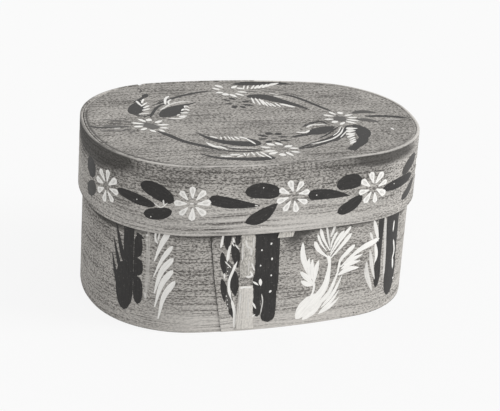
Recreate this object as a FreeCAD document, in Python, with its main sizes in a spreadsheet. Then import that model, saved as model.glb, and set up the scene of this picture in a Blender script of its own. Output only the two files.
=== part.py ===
"""Oval bentwood box with a deep lid that slides down over it.

Origin at the middle of the box's foot, +X along the long axis towards the narrower end, -Y towards the
front with the laced lap, +Z up. All sizes are in millimetres and all angles in degrees.
"""
import FreeCAD, Part
import math
import os
import Sketcher

DRIVING = {
    # plan of the lid band's outer face: an oval of eight tangent arcs. The long sides' radius is a
    # multiple of length ^ 2 / width, and those of the ends and corners are multiples of half the width
    "lid_length": 270.0,
    "lid_width": 188.0,
    "widest_x": -24.0,
    "side_flatness": 1.1,
    "left_end_flatness": 1.48,
    "right_end_flatness": 1.49,
    "left_corner_share": 0.84,
    "right_corner_share": 0.82,
    # heights
    "total_height": 139.5,
    "lid_height": 56.5,
    "lid_board_recess": 0.7,
    "box_board_recess": 2.0,
    # thin wood
    "lid_wall": 2.8,
    "box_wall": 2.8,
    "lid_board_thickness": 6.5,
    "box_board_thickness": 8.0,
    "lid_edge_round": 0.8,
    "box_edge_round": 0.7,
    "board_edge_round": 0.6,
    # clearances
    "slip_gap": 0.9,
    "board_gap": 0.1,
    "peg_gap": 0.05,
    "slit_gap": 0.1,
    # lapped outer ends of the two bands: where they end at the top and at the foot, and where they merge
    "box_lap_end_x": -58.0,
    "box_lap_foot_x": -40.0,
    "box_lap_merge_x": 20.0,
    "box_lap_step": 0.65,
    "lid_lap_end_x": 28.0,
    "lid_lap_foot_x": 22.0,
    "lid_lap_merge_x": -45.0,
    "lid_lap_step": 0.6,
    "lap_root": 1.2,
    "lap_dive": 0.1,
    # lacing ribbons
    "ribbon_thickness": 0.8,
    "box_ribbon_width": 14.0,
    "box_seam_x": -21.5,
    "box_ribbon_foot": 1.6,
    "box_ribbon_dip": 39.0,
    "box_ribbon_rise": 45.5,
    "box_ribbon_drop": 1.0,
    "box_ribbon_tail": 10.0,
    "lid_ribbon_width": 11.0,
    "lid_seam_x": 6.0,
    "lid_ribbon_foot": 8.0,
    "lid_ribbon_drop": 12.0,
    # pegs, and the way round the wall to the first one
    "peg_radius": 1.5,
    "peg_length": 15.0,
    "peg_head": 0.2,
    "box_peg_start": 15.8,
    "lid_peg_start": 92.2,
    # thin shim tucked between lid and box at the front
    "shim_thickness": 0.4,
    "shim_width": 13.0,
    "shim_reach": 5.5,
    "shim_cover": 12.0,
    "shim_slant": 4.8,
    "shim_x": 8.0,
    "shim_gap": 0.12,
    # chip in the lid's rim, and the way round the wall to it
    "chip_way": 257.5,
    "chip_side": 2.4,
}
PEG_COUNT = 6
UPRIGHT = FreeCAD.Vector(0, 0, 1)
SIDES = {"front": -1, "back": 1}

# Layout that follows from the driving sizes, as formulas of the second sheet.
LAYOUT = {
    "side_radius": "Sizes.side_flatness * Sizes.lid_length ^ 2 / Sizes.lid_width",
    "left_end_radius": "Sizes.left_end_flatness * Sizes.lid_width / 2",
    "right_end_radius": "Sizes.right_end_flatness * Sizes.lid_width / 2",
    "left_corner_radius": "Sizes.left_corner_share * Sizes.lid_width / 2",
    "right_corner_radius": "Sizes.right_corner_share * Sizes.lid_width / 2",
    "side_centre_y": "side_radius - Sizes.lid_width / 2",
    "left_centre_x": "left_end_radius - Sizes.lid_length / 2",
    "right_centre_x": "Sizes.lid_length / 2 - right_end_radius",
    "lid_outer": "0",
    "lid_inner": "Sizes.lid_wall",
    "lid_board_edge": "lid_inner + Sizes.board_gap",
    "box_outer": "lid_inner + Sizes.slip_gap",
    "box_inner": "box_outer + Sizes.box_wall",
    "box_board_edge": "box_inner + Sizes.board_gap",
    "lid_foot": "Sizes.total_height - Sizes.lid_height",
    "lid_board_foot": "Sizes.total_height - Sizes.lid_board_recess - Sizes.lid_board_thickness",
    "box_height": "lid_board_foot",
    "box_peg_z": "Sizes.box_board_recess + Sizes.box_board_thickness / 2",
    "lid_peg_z": "lid_board_foot + Sizes.lid_board_thickness / 2",
}

doc = FreeCAD.newDocument("BentwoodBox")


def make_sheet(name, cells, prefix=""):
    """Write an alias and its cell in each row."""
    sheet = doc.addObject("Spreadsheet::Sheet", name)
    for row, (alias, content) in enumerate(cells.items(), start=1):
        sheet.set(f"A{row}", alias)
        sheet.set(f"B{row}", prefix + str(content))
        sheet.setAlias(f"B{row}", alias)
    doc.recompute()
    return sheet


sizes = make_sheet("Sizes", DRIVING)
layout = make_sheet("Layout", LAYOUT, prefix="=")


def value_of(expression):
    """Number that an expression of the two sheets gives."""
    return float(layout.evalExpression(expression))


def size(alias):
    return value_of(f"Sizes.{alias}")


def vector(x, y, z=0.0):
    return FreeCAD.Vector(x, y, z)


def place_at(point, turn=0.0):
    """Placement at a point, turned about the upright axis."""
    return FreeCAD.Placement(point, FreeCAD.Rotation(UPRIGHT, turn))


def bind(feature, **expressions):
    """Tie a feature's properties to expressions."""
    for name, expression in expressions.items():
        feature.setExpression(name, expression)


def new_body(label, height="0"):
    """Body whose foot stands at a height given by an expression."""
    body = doc.addObject("PartDesign::Body", f"{label}_body")
    body.Label = label
    body.setExpression(".Placement.Base.z", height)
    return body


def new_sketch(body, role, name):
    """Sketch on one of the body's own origin planes."""
    sketch = body.newObject("Sketcher::SketchObject", name)
    plane = next(item for item in body.Origin.OriginFeatures if item.Role == role)
    sketch.AttachmentSupport = [(plane, "")]
    sketch.MapMode = "FlatFace"
    return sketch


def dimension(sketch, kind, *where, by):
    """Add a dimension whose value is an expression."""
    index = sketch.addConstraint(Sketcher.Constraint(kind, *where, value_of(by)))
    sketch.setExpression(f"Constraints[{index}]", by)


def pin_point(sketch, line, end, x, y):
    """Fix a line's end by its distances from the sketch's origin."""
    dimension(sketch, "DistanceX", -1, 1, line, end, by=x)
    dimension(sketch, "DistanceY", -1, 1, line, end, by=y)


def polygon(sketch, corners):
    """Closed outline of straight lines through corners given as pairs of expressions."""
    points = [vector(value_of(x), value_of(y)) for x, y in corners]
    count = len(points)
    for number, point in enumerate(points):
        sketch.addGeometry(Part.LineSegment(point, points[(number + 1) % count]), False)
    for number, (x, y) in enumerate(corners):
        sketch.addConstraint(Sketcher.Constraint("Coincident", number, 2, (number + 1) % count, 1))
        pin_point(sketch, number, 1, x, y)


def pad_of(body, sketch, **expressions):
    pad = body.newObject("PartDesign::Pad", "Pad")
    pad.Profile = sketch
    bind(pad, **expressions)
    doc.recompute()
    return pad


def cross_left(first, first_radius, second, second_radius):
    """Crossing of two circles on the left of the way from the first centre to the second."""
    way = second - first
    apart = way.Length
    along = (first_radius ** 2 - second_radius ** 2 + apart ** 2) / (2 * apart)
    aside = math.sqrt(first_radius ** 2 - along ** 2)
    step = way / apart
    return first + step * along + vector(-step.y, step.x) * aside


def corner_centre(hand, side_centre, behind):
    """Centre of a corner arc: inside both neighbours by the difference of the radii."""
    centre_x, end, corner, side = (
        value_of(f"Layout.{alias}")
        for alias in (f"{hand}_centre_x", f"{hand}_end_radius", f"{hand}_corner_radius", "side_radius")
    )
    long_circle = (side_centre, side - corner)
    end_circle = (vector(centre_x, 0), end - corner)
    if (hand == "right") == behind:
        return cross_left(*end_circle, *long_circle)
    return cross_left(*long_circle, *end_circle)


def oval_arcs(inset):
    """Centre, radius and layout name of the plan's arcs, counter-clockwise from the right end."""
    side_y = value_of("Layout.side_centre_y")
    widest_x = size("widest_x")
    back = vector(widest_x, -side_y)
    front = vector(widest_x, side_y)
    arcs = [
        (vector(value_of("Layout.right_centre_x"), 0), "right_end_radius"),
        (corner_centre("right", back, True), "right_corner_radius"),
        (back, "side_radius"),
        (corner_centre("left", back, True), "left_corner_radius"),
        (vector(value_of("Layout.left_centre_x"), 0), "left_end_radius"),
        (corner_centre("left", front, False), "left_corner_radius"),
        (front, "side_radius"),
        (corner_centre("right", front, False), "right_corner_radius"),
    ]
    return [(centre, value_of(f"Layout.{alias}") - inset, alias) for centre, alias in arcs]


def arc_joints(arcs):
    """Point where each arc meets the next, on the line through both centres."""
    points = []
    for (centre, radius, _), (after, after_radius, _) in zip(arcs, arcs[1:] + arcs[:1]):
        outward = after - centre if radius > after_radius else centre - after
        points.append(centre + outward.normalize() * radius)
    return points


def heading(centre, point):
    """Angle of a point seen from a centre, in radians."""
    return math.atan2(point.y - centre.y, point.x - centre.x)


def oval(sketch, inset_alias):
    """Draw and constrain the eight arcs, set in from the lid's outer face by a layout alias."""
    arcs = oval_arcs(value_of(f"Layout.{inset_alias}"))
    joints = arc_joints(arcs)
    first = sketch.GeometryCount
    count = len(arcs)
    for (centre, radius, _), begin, end in zip(arcs, joints[-1:] + joints[:-1], joints):
        circle = Part.Circle(centre, UPRIGHT, radius)
        sketch.addGeometry(Part.ArcOfCircle(circle, heading(centre, begin), heading(centre, end)), False)
    for step in range(count):
        after = first + (step + 1) % count
        sketch.addConstraint(Sketcher.Constraint("Tangent", first + step, 2, after, 1))
    right_end, back, left_end, front = (first + step for step in range(0, count, 2))
    for step, (_, _, alias) in enumerate(arcs):
        dimension(sketch, "Radius", first + step, by=f"Layout.{alias} - Layout.{inset_alias}")
    for arc, hand in ((right_end, "right"), (left_end, "left")):
        sketch.addConstraint(Sketcher.Constraint("PointOnObject", arc, 3, -1))
        dimension(sketch, "DistanceX", -1, 1, arc, 3, by=f"Layout.{hand}_centre_x")
    for arc, sign in ((back, "-"), (front, "")):
        dimension(sketch, "DistanceX", -1, 1, arc, 3, by="Sizes.widest_x")
        dimension(sketch, "DistanceY", -1, 1, arc, 3, by=f"{sign}Layout.side_centre_y")


def round_edges(body, pad, inset_alias, heights, radius_alias):
    """Round those edges of a pad that follow the oval at an inset, at heights above the pad's foot."""
    radii = [radius for _, radius, _ in oval_arcs(value_of(f"Layout.{inset_alias}"))]
    near = 1e-4
    names = []
    for number, edge in enumerate(pad.Shape.Edges, start=1):
        levels = [vertex.Z for vertex in edge.Vertexes]
        level = any(all(abs(z - height) < near for z in levels) for height in heights)
        if level and any(abs(edge.Curve.Radius - radius) < near for radius in radii):
            names.append(f"Edge{number}")
    rounding = body.newObject("PartDesign::Fillet", "Rounding")
    rounding.Base = (pad, names)
    bind(rounding, Radius=f"Sizes.{radius_alias}")
    doc.recompute()


def wall_y(x, radius, sign):
    """Expression for Y on a long arc of the given radius."""
    return f"{sign} * (sqrt(({radius}) ^ 2 - ({x} - Sizes.widest_x) ^ 2) - Layout.side_centre_y)"


class Lap:
    """Lapped outer end of a band: proud where it ends, and easing back into the wall along a flatter arc."""

    def __init__(self, band, side):
        self.band = band
        self.sign = SIDES[side]
        face = f"Layout.side_radius - Layout.{band}_outer"
        self.root_radius = f"{face} - Sizes.lap_root"
        self.merge_x = f"Sizes.{band}_lap_merge_x"
        self.merge_y = wall_y(self.merge_x, f"{face} - Sizes.lap_dive", self.sign)
        end_x = f"Sizes.{band}_lap_end_x"
        end = vector(value_of(end_x), value_of(wall_y(end_x, f"{face} + Sizes.{band}_lap_step", self.sign)))
        merged = vector(value_of(self.merge_x), value_of(self.merge_y))
        inward = vector(size("widest_x"), -self.sign * value_of("Layout.side_centre_y")) - merged
        inward.normalize()
        across = end - merged
        self.wall_radius = face
        self.radius = across.Length ** 2 / (2 * across.dot(inward))
        self.centre = merged + inward * self.radius

    def face(self, x):
        """Point of the lap's outer face at x."""
        return vector(x, self.centre.y + self.sign * math.sqrt(self.radius ** 2 - (x - self.centre.x) ** 2))

    def seat(self, x):
        """Outermost point of lap and wall at x."""
        wall = vector(x, value_of(wall_y(str(x), self.wall_radius, self.sign)))
        return max(self.face(x), wall, key=lambda point: self.sign * point.y)

    def place(self, x):
        """Placement on the seat at x, with -Y outwards."""
        lean = math.degrees(math.asin((x - self.centre.x) / self.radius))
        return place_at(self.seat(x), 180 - lean if self.sign > 0 else lean)

    def depth(self, x):
        """Thickness from the seat to the band's inner face at x."""
        inner = value_of(wall_y(str(x), f"Layout.side_radius - Layout.{self.band}_inner", self.sign))
        return abs(self.seat(x).y - inner)

    def plan(self, body, name, end_x, height):
        """Closed plan of the lap at a height: end face, root arc in the wall, short way out, outer arc."""
        sketch = new_sketch(body, "XY_Plane", name)
        sketch.setExpression(".AttachmentOffset.Base.z", height)
        middle_x = f"({end_x} + {self.merge_x}) / 2"
        root_end, root_middle, root_merge = (
            (x, wall_y(x, self.root_radius, self.sign)) for x in (end_x, middle_x, self.merge_x)
        )
        begin, middle, turn, merged = (
            vector(value_of(x), value_of(y))
            for x, y in (root_end, root_middle, root_merge, (self.merge_x, self.merge_y))
        )
        end = self.face(value_of(end_x))
        crown = self.face((merged.x + end.x) / 2)
        sketch.addGeometry(Part.LineSegment(end, begin), False)
        sketch.addGeometry(Part.Arc(begin, middle, turn), False)
        sketch.addGeometry(Part.LineSegment(turn, merged), False)
        sketch.addGeometry(Part.Arc(merged, crown, end), False)
        end_face, root, way_out, outer = range(sketch.GeometryCount)
        outer_ends = (1, 2) if self.sign * (merged.x - end.x) > 0 else (2, 1)
        chain = [(end_face, 1, 2), (root, *outer_ends[::-1]), (way_out, 1, 2), (outer, *outer_ends)]
        for (line, _, leaving), (after, entering, _) in zip(chain, chain[1:] + chain[:1]):
            sketch.addConstraint(Sketcher.Constraint("Coincident", line, leaving, after, entering))
        pin_point(sketch, end_face, 1, end_x, str(end.y))
        pin_point(sketch, end_face, 2, *root_end)
        pin_point(sketch, way_out, 1, *root_merge)
        pin_point(sketch, way_out, 2, self.merge_x, self.merge_y)
        dimension(sketch, "Radius", root, by=self.root_radius)
        dimension(sketch, "Radius", outer, by=str(self.radius))
        return sketch

    def add_to(self, body, height):
        """Loft the lap onto the band, its end slanting from the foot to the top."""
        foot = self.plan(body, "LapFoot", f"Sizes.{self.band}_lap_foot_x", "0")
        top = self.plan(body, "LapTop", f"Sizes.{self.band}_lap_end_x", height)
        loft = body.newObject("PartDesign::AdditiveLoft", "LapLoft")
        loft.Profile = foot
        loft.Sections = [top]
        loft.Ruled = True
        doc.recompute()


def walk_arcs(inset):
    """The oval's arcs from the right tip once round: centre, radius, first angle, length."""
    arcs = oval_arcs(inset)
    joints = arc_joints(arcs)
    centre, radius, _ = arcs[0]
    tip = centre + vector(radius, 0)
    stretches = []
    for (centre, radius, _), begin, end in zip(arcs + arcs[:1], [tip] + joints, joints + [tip]):
        first = heading(centre, begin)
        sweep = (heading(centre, end) - first) % (2 * math.pi)
        stretches.append((centre, radius, first, sweep * radius))
    return stretches


def walk(inset, distance):
    """Point and outward direction after a distance round the oval, counter-clockwise from the right tip."""
    stretches = walk_arcs(inset)
    distance %= sum(length for _, _, _, length in stretches)
    for centre, radius, first, length in stretches:
        if distance <= length:
            break
        distance -= length
    angle = first + distance / radius
    outward = vector(math.cos(angle), math.sin(angle))
    return centre + outward * radius, outward


def peg_places(band):
    """Places of a band's pegs, evenly spaced round its wall, each with its axis inwards."""
    inset = value_of(f"Layout.{band}_outer")
    whole = sum(length for _, _, _, length in walk_arcs(inset))
    height = value_of(f"Layout.{band}_peg_z")
    places = []
    for number in range(PEG_COUNT):
        point, outward = walk(inset, size(f"{band}_peg_start") + whole * number / PEG_COUNT)
        head = point + outward * size("peg_head") + vector(0, 0, height)
        places.append(FreeCAD.Placement(head, FreeCAD.Rotation(UPRIGHT, -outward)))
    return places


def pins(name, places, gap="0"):
    """One round pin at each place, larger all round by a gap."""
    made = []
    for number, place in enumerate(places, start=1):
        pin = doc.addObject("Part::Cylinder", f"{name}_{number}")
        bind(pin, Radius=f"Sizes.peg_radius + {gap}", Height=f"Sizes.peg_length + {gap}")
        pin.Placement = place
        made.append(pin)
    return made


def compound(label, members):
    group = doc.addObject("Part::Compound", f"{label}_group")
    group.Label = label
    group.Links = members
    return group


def cut(label, base, tools):
    """Take the tools out of a base. The result is the piece, and the base keeps a name of its own."""
    base.Label = f"{label}_blank"
    result = doc.addObject("Part::Cut", f"{label}_cut")
    result.Label = label
    result.Base = base
    result.Tool = compound(f"{label}_openings", tools)
    return result


def slit(name, place, width_alias, low, depth):
    """Flat slit for a ribbon, through a wall of the given depth whose frame has -Y outwards."""
    run_out = 3 * size("ribbon_thickness")
    tool = doc.addObject("Part::Box", name)
    bind(tool, Length=f"Sizes.{width_alias} + 2 * Sizes.slit_gap")
    bind(tool, Height="Sizes.ribbon_thickness + 2 * Sizes.slit_gap")
    tool.Width = depth + 2 * run_out
    half_width = value_of(f"Sizes.{width_alias} / 2 + Sizes.slit_gap")
    tool.Placement = place * place_at(vector(-half_width, -run_out, low - size("slit_gap")))
    return tool


def band(part, lap, foot, height):
    """Bent strip of the box or the lid: an even ring with rounded outer edges and a lapped end."""
    body = new_body(f"{part}_band", foot)
    plan = new_sketch(body, "XY_Plane", "Plan")
    oval(plan, f"{part}_outer")
    oval(plan, f"{part}_inner")
    ring = pad_of(body, plan, Length=height)
    round_edges(body, ring, f"{part}_outer", (0, value_of(height)), f"{part}_edge_round")
    lap.add_to(body, height)
    return body


def board(label, inset_alias, foot, thickness, rounded_height):
    """Oval board with its outer edge rounded at one height."""
    body = new_body(label, foot)
    plan = new_sketch(body, "XY_Plane", "Plan")
    oval(plan, inset_alias)
    slab = pad_of(body, plan, Length=thickness)
    round_edges(body, slab, inset_alias, (value_of(rounded_height),), "board_edge_round")
    return body


def ribbon(label, corners, place, width_alias):
    """Flat ribbon: a thin outline in the wall's cross-section, padded to the ribbon's width."""
    body = doc.addObject("PartDesign::Body", f"{label}_body")
    body.Label = label
    section = new_sketch(body, "YZ_Plane", "Section")
    polygon(section, corners)
    strip = pad_of(body, section, Length=f"Sizes.{width_alias}")
    strip.SideType = "Symmetric"
    body.Placement = place
    doc.recompute()
    return body


def make_box():
    """The fixed body: band, bottom board, pegs and the lacing of the front lap."""
    lap = Lap("box", "front")
    seam_x = size("box_seam_x")
    seam = lap.place(seam_x)
    depth = lap.depth(seam_x)
    thin = "Sizes.ribbon_thickness"
    top = "Layout.lid_foot - Sizes.box_ribbon_drop"
    slit_feet = {
        "foot": "Sizes.box_ribbon_foot",
        "dip": f"Sizes.box_ribbon_dip - {thin}",
        "rise": "Sizes.box_ribbon_rise",
        "drop": f"{top} - {thin}",
    }
    slits = [
        slit(f"box_slit_{name}", seam, "box_ribbon_width", value_of(low), depth)
        for name, low in slit_feet.items()
    ]
    places = peg_places("box")
    drills = pins("box_drill", places, "Sizes.peg_gap")
    blank = band("box", lap, "0", "Layout.box_height")
    cut("box_band", blank, drills + slits)
    bottom_foot = "Sizes.box_board_recess"
    bottom = board("box_bottom", "box_board_edge", bottom_foot, "Sizes.box_board_thickness", "0")
    cut("box_bottom", bottom, pins("bottom_drill", places, "Sizes.peg_gap"))
    compound("box_bottom_pegs", pins("box_peg", places))

    outside = f"-{thin}"
    inside = f"{depth} + Sizes.slit_gap"
    inside_back = f"{inside} + {thin}"
    wedged = f"{depth} - Sizes.slit_gap"
    foot, dip, rise = "Sizes.box_ribbon_foot", "Sizes.box_ribbon_dip", "Sizes.box_ribbon_rise"
    tail = f"{top} - {thin} + Sizes.box_ribbon_tail"
    corners = [
        (outside, foot),
        (wedged, foot),
        (wedged, f"{foot} + {thin}"),
        ("0", f"{foot} + {thin}"),
        ("0", f"{dip} - {thin}"),
        (inside_back, f"{dip} - {thin}"),
        (inside_back, f"{rise} + {thin}"),
        ("0", f"{rise} + {thin}"),
        ("0", f"{top} - {thin}"),
        (inside_back, f"{top} - {thin}"),
        (inside_back, tail),
        (inside, tail),
        (inside, top),
        (outside, top),
        (outside, rise),
        (inside, rise),
        (inside, dip),
        (outside, dip),
    ]
    ribbon("box_seam_ribbon", corners, seam, "box_ribbon_width")


def make_lid():
    """The lid: band, board, pegs, the lacing of the back lap and the shim under its front edge."""
    lap = Lap("lid", "back")
    seam_x = size("lid_seam_x")
    seam = lap.place(seam_x)
    depth = lap.depth(seam_x)
    thin = "Sizes.ribbon_thickness"
    low = "Layout.lid_foot + Sizes.lid_ribbon_foot"
    high = "Sizes.total_height - Sizes.lid_ribbon_drop"
    slits = [
        slit("lid_slit_low", seam, "lid_ribbon_width", value_of(low), depth),
        slit("lid_slit_high", seam, "lid_ribbon_width", value_of(f"{high} - {thin}"), depth),
    ]
    chip_point, chip_outward = walk(0.0, size("chip_way"))
    chip = doc.addObject("Part::Box", "rim_chip")
    bind(chip, Length="4 * Sizes.lid_wall", Width="Sizes.chip_side", Height="Sizes.chip_side")
    chip_foot = value_of("Sizes.total_height - Sizes.chip_side / sqrt(2)")
    chip_start = chip_point + chip_outward * 2 * size("lid_wall") + vector(0, 0, chip_foot)
    inward = math.degrees(math.atan2(-chip_outward.y, -chip_outward.x))
    chip.Placement = place_at(chip_start, inward) * FreeCAD.Placement(
        vector(0, 0), FreeCAD.Rotation(FreeCAD.Vector(1, 0, 0), 45)
    )
    places = peg_places("lid")
    drills = pins("lid_drill", places, "Sizes.peg_gap")
    blank = band("lid", lap, "Layout.lid_foot", "Sizes.lid_height")
    cut("lid_band", blank, drills + slits + [chip])
    thickness = "Sizes.lid_board_thickness"
    top_board = board("lid_board", "lid_board_edge", "Layout.lid_board_foot", thickness, thickness)
    cut("lid_board", top_board, pins("board_drill", places, "Sizes.peg_gap"))
    compound("lid_board_pegs", pins("lid_peg", places))

    outside = f"-{thin}"
    wedged = f"{depth} - Sizes.slit_gap"
    corners = [
        (outside, low),
        (wedged, low),
        (wedged, f"{low} + {thin}"),
        ("0", f"{low} + {thin}"),
        ("0", f"{high} - {thin}"),
        (wedged, f"{high} - {thin}"),
        (wedged, high),
        (outside, high),
    ]
    ribbon("lid_seam_ribbon", corners, seam, "lid_ribbon_width")
    make_shim()


def make_shim():
    """Thin slanted tongue against the inside of the lid's front wall."""
    body = doc.addObject("PartDesign::Body", "lid_shim_body")
    body.Label = "lid_shim"
    face = new_sketch(body, "XZ_Plane", "Face")
    low = "Layout.lid_foot - Sizes.shim_reach"
    high = "Layout.lid_foot + Sizes.shim_cover"
    wide = "(Sizes.shim_width + Sizes.shim_slant) / 2"
    narrow = "(Sizes.shim_width - Sizes.shim_slant) / 2"
    polygon(face, [(f"-{wide}", low), (narrow, low), (wide, high), (f"-{narrow}", high)])
    pad_of(body, face, Length="Sizes.shim_thickness")
    x = size("shim_x")
    inner_radius = "Layout.side_radius - Layout.lid_inner"
    inner_y = value_of(wall_y("Sizes.shim_x", inner_radius, SIDES["front"]))
    behind = value_of("Sizes.shim_gap + Sizes.shim_thickness")
    turn = math.degrees(math.asin((x - size("widest_x")) / value_of(inner_radius)))
    body.Placement = place_at(vector(x, inner_y + behind), turn)


make_box()
make_lid()
doc.recompute()

NODES = [
    "box_band",
    "box_bottom",
    "box_bottom_pegs",
    "box_seam_ribbon",
    "lid_band",
    "lid_board",
    "lid_board_pegs",
    "lid_seam_ribbon",
    "lid_shim",
]
for item in doc.Objects:
    if "Invalid" in item.State or "Error" in item.State:
        raise RuntimeError(f"{item.Name} failed: {item.State}")
pieces = {label: doc.getObjectsByLabel(label)[0] for label in NODES}
for label, piece in pieces.items():
    if piece.Shape.isNull() or not piece.Shape.isValid():
        raise RuntimeError(f"{label} has no valid shape")
os.makedirs("parts", exist_ok=True)
for label, piece in pieces.items():
    piece.Shape.exportStep(f"parts/{label}.step")
    print(label, len(piece.Shape.Solids), round(piece.Shape.Volume, 1))
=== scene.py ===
"""Painted oval bentwood box with a deep lift-off lid: its looks, laid over the frame's CAD model.

Lengths are metres, apart from the tables in millimetres, whose rows go through MM. A place on a wall is its
way round the wall from the front point of its widest line, towards +X first, its lift off the wall's outer
face, and its height. A place on a board is its x and y.
"""
import math

import bmesh
import bpy
import numpy as np
from bpy.props import FloatProperty, FloatVectorProperty, IntProperty, PointerProperty
from mathutils import Matrix, Vector


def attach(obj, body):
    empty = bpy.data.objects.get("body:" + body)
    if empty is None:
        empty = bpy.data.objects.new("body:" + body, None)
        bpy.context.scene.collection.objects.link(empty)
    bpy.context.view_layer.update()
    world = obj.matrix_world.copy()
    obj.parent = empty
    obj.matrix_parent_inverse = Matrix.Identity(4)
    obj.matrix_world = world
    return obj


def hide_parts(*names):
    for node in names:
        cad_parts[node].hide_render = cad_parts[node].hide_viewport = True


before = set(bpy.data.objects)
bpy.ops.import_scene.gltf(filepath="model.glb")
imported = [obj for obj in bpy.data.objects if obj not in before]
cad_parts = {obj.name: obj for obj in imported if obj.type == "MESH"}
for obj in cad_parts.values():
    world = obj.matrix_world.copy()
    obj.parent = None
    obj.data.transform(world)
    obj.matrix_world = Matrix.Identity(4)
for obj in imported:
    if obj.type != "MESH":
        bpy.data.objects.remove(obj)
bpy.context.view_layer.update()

bl_info = {
    "name": "Painted Bentwood Box",
    "version": (1, 0, 0),
    "blender": (4, 5, 0),
    "location": "3D View > Sidebar > Bentwood Box",
    "description": "Builds a painted oval bentwood box with a lift-off lid",
    "category": "Object",
}

MM = 0.001
SEED = 7

# plan of the lid's outer face: an oval of eight tangent arcs
HALF_LENGTH, HALF_WIDTH, WIDEST_X = 135.0 * MM, 94.0 * MM, -24.0 * MM
SIDE_RADIUS = 426.5 * MM
END_RADIUS = {"left": 139.1 * MM, "right": 140.1 * MM}
CORNER_RADIUS = {"left": 79.0 * MM, "right": 77.1 * MM}
# how far the faces are set in from the lid's outer face
BOX_INSET, WALL = 3.7 * MM, 2.8 * MM
LID_BOARD_INSET, BOX_BOARD_INSET = 2.9 * MM, 6.6 * MM
# heights
LID_FOOT, LID_TOP = 83.0 * MM, 139.5 * MM
BOX_TOP = 132.3 * MM
LID_BOARD = (132.3 * MM, 138.8 * MM)
BOX_BOARD = (2.0 * MM, 10.0 * MM)
# the worn face lies a little below the sawn one, which leaves room for the paint
FACE_DROP, FACE_WAVE = 0.26 * MM, 0.06 * MM
DARK_LIFT, LIGHT_LIFT, PAINT_SINK = 0.06 * MM, 0.11 * MM, 0.12 * MM
# each later stroke of a table lies over the earlier ones, and the flecks lie on the ribbon
LATER_LIFT, FLECK_LIFT = 0.0004 * MM, 0.05 * MM
# laps: way and slope of the slanted end, the step there, and the way where the lap merges
BOX_LAP = {"foot": -15.9 * MM, "slant": 18.1 * MM, "bow": 1.6 * MM, "merge": 44 * MM, "step": 0.62 * MM}
LID_LAP = {"foot": 375.3 * MM, "slant": 5.8 * MM, "bow": 0.4 * MM, "merge": 442.5 * MM, "step": 0.55 * MM}
# lacing slits: way from and to, and the heights of each slit's foot and top
BOX_SLITS = ((-4.6 * MM, 9.6 * MM), ((1.5, 2.6), (38.0, 39.1), (45.4, 46.4), (81.1, 82.1)))
LID_SLITS = ((385.9 * MM, 397.1 * MM), ((90.9, 92.0), (126.6, 127.7)))


class BoxSizes(bpy.types.PropertyGroup):
    """Sizes that a user would change."""

    column_step: FloatProperty(
        name="Column step", description="Width of one column of a band's mesh",
        default=1.6 * MM, min=0.5 * MM, unit="LENGTH")
    row_step: FloatProperty(
        name="Row step", description="Height of one row of a band's mesh",
        default=2.6 * MM, min=0.5 * MM, unit="LENGTH")
    peg_radius: FloatProperty(
        name="Peg radius", description="Radius of the wooden pegs",
        default=1.45 * MM, min=0.5 * MM, unit="LENGTH")
    peg_length: FloatProperty(
        name="Peg length", description="Length of the wooden pegs",
        default=14.8 * MM, min=2 * MM, unit="LENGTH")
    ribbon_thickness: FloatProperty(
        name="Ribbon thickness", description="Thickness of the lacing ribbons",
        default=0.7 * MM, min=0.1 * MM, unit="LENGTH")
    petal_length: FloatProperty(
        name="Petal length", description="Length of a petal of the lid wall's flowers",
        default=9.8 * MM, min=1 * MM, unit="LENGTH")
    petal_width: FloatProperty(
        name="Petal width", description="Width of a petal of the lid wall's flowers",
        default=5.5 * MM, min=0.5 * MM, unit="LENGTH")
    flower_radius: FloatProperty(
        name="Flower radius", description="Distance from a flower's centre to the middle of its petals",
        default=8.9 * MM, min=1 * MM, unit="LENGTH")
    petals: IntProperty(name="Petals", description="Petals of each flower", default=8, min=3)


def tint(name, words, colour):
    """Property of one colour."""
    return FloatVectorProperty(
        name=name, description=words, subtype="COLOR", size=3, min=0, max=1, default=colour)


class BoxColours(bpy.types.PropertyGroup):
    """Colours that a user would change."""

    wood_light: tint("Wood, light", "Bare wood between the grain lines", (0.56, 0.535, 0.50))
    wood_dark: tint("Wood, dark", "Grain lines of the wood", (0.125, 0.117, 0.108))
    # the soil colour is also that of the painted shade: under the lid, along the box's foot, in crevices and
    # towards the lid's rim
    soil_and_shade: tint("Soil and shade", "Dirt that has settled in the wood", (0.055, 0.052, 0.048))
    # the worn colour is also that of the painted light low on the front of both walls
    worn_and_lit: tint("Worn edge and light", "Wood rubbed bright along the edges", (0.78, 0.75, 0.71))
    dark_paint: tint("Dark paint", "Leaves, bars and stems", (0.026, 0.0245, 0.0235))
    light_paint: tint("Light paint", "Petals, ferns and highlights", (0.97, 0.955, 0.92))
    ribbon: tint("Ribbon", "Split root of the lacing", (0.74, 0.71, 0.655))


class StageSettings(bpy.types.PropertyGroup):
    """Light and floor that a user would change."""

    key_strength: FloatProperty(
        name="Key light", description="Strength of the lamp at the front right", default=1.8, min=0)
    sky_strength: FloatProperty(
        name="Even light", description="Strength of the light from all round", default=0.67, min=0)
    floor_reach: FloatProperty(
        name="Floor reach", description="Half the floor's side", default=6.0, min=1, unit="LENGTH")


def crossing(first, first_radius, second, second_radius, hand):
    """Crossing of two circles, on the left of the way between their centres for hand 1, the right for -1."""
    way = second - first
    apart = way.length
    along = (first_radius ** 2 - second_radius ** 2 + apart ** 2) / (2 * apart)
    aside = math.sqrt(first_radius ** 2 - along ** 2) * hand
    unit = way / apart
    return first + unit * along + Vector((-unit.y, unit.x)) * aside


def heading(centre, point):
    """Direction of a point from a centre, as an angle."""
    return math.atan2(point.y - centre.y, point.x - centre.x)


# step between the points of a wall's curve object
LINE_STEP = 1.5 * MM


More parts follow.
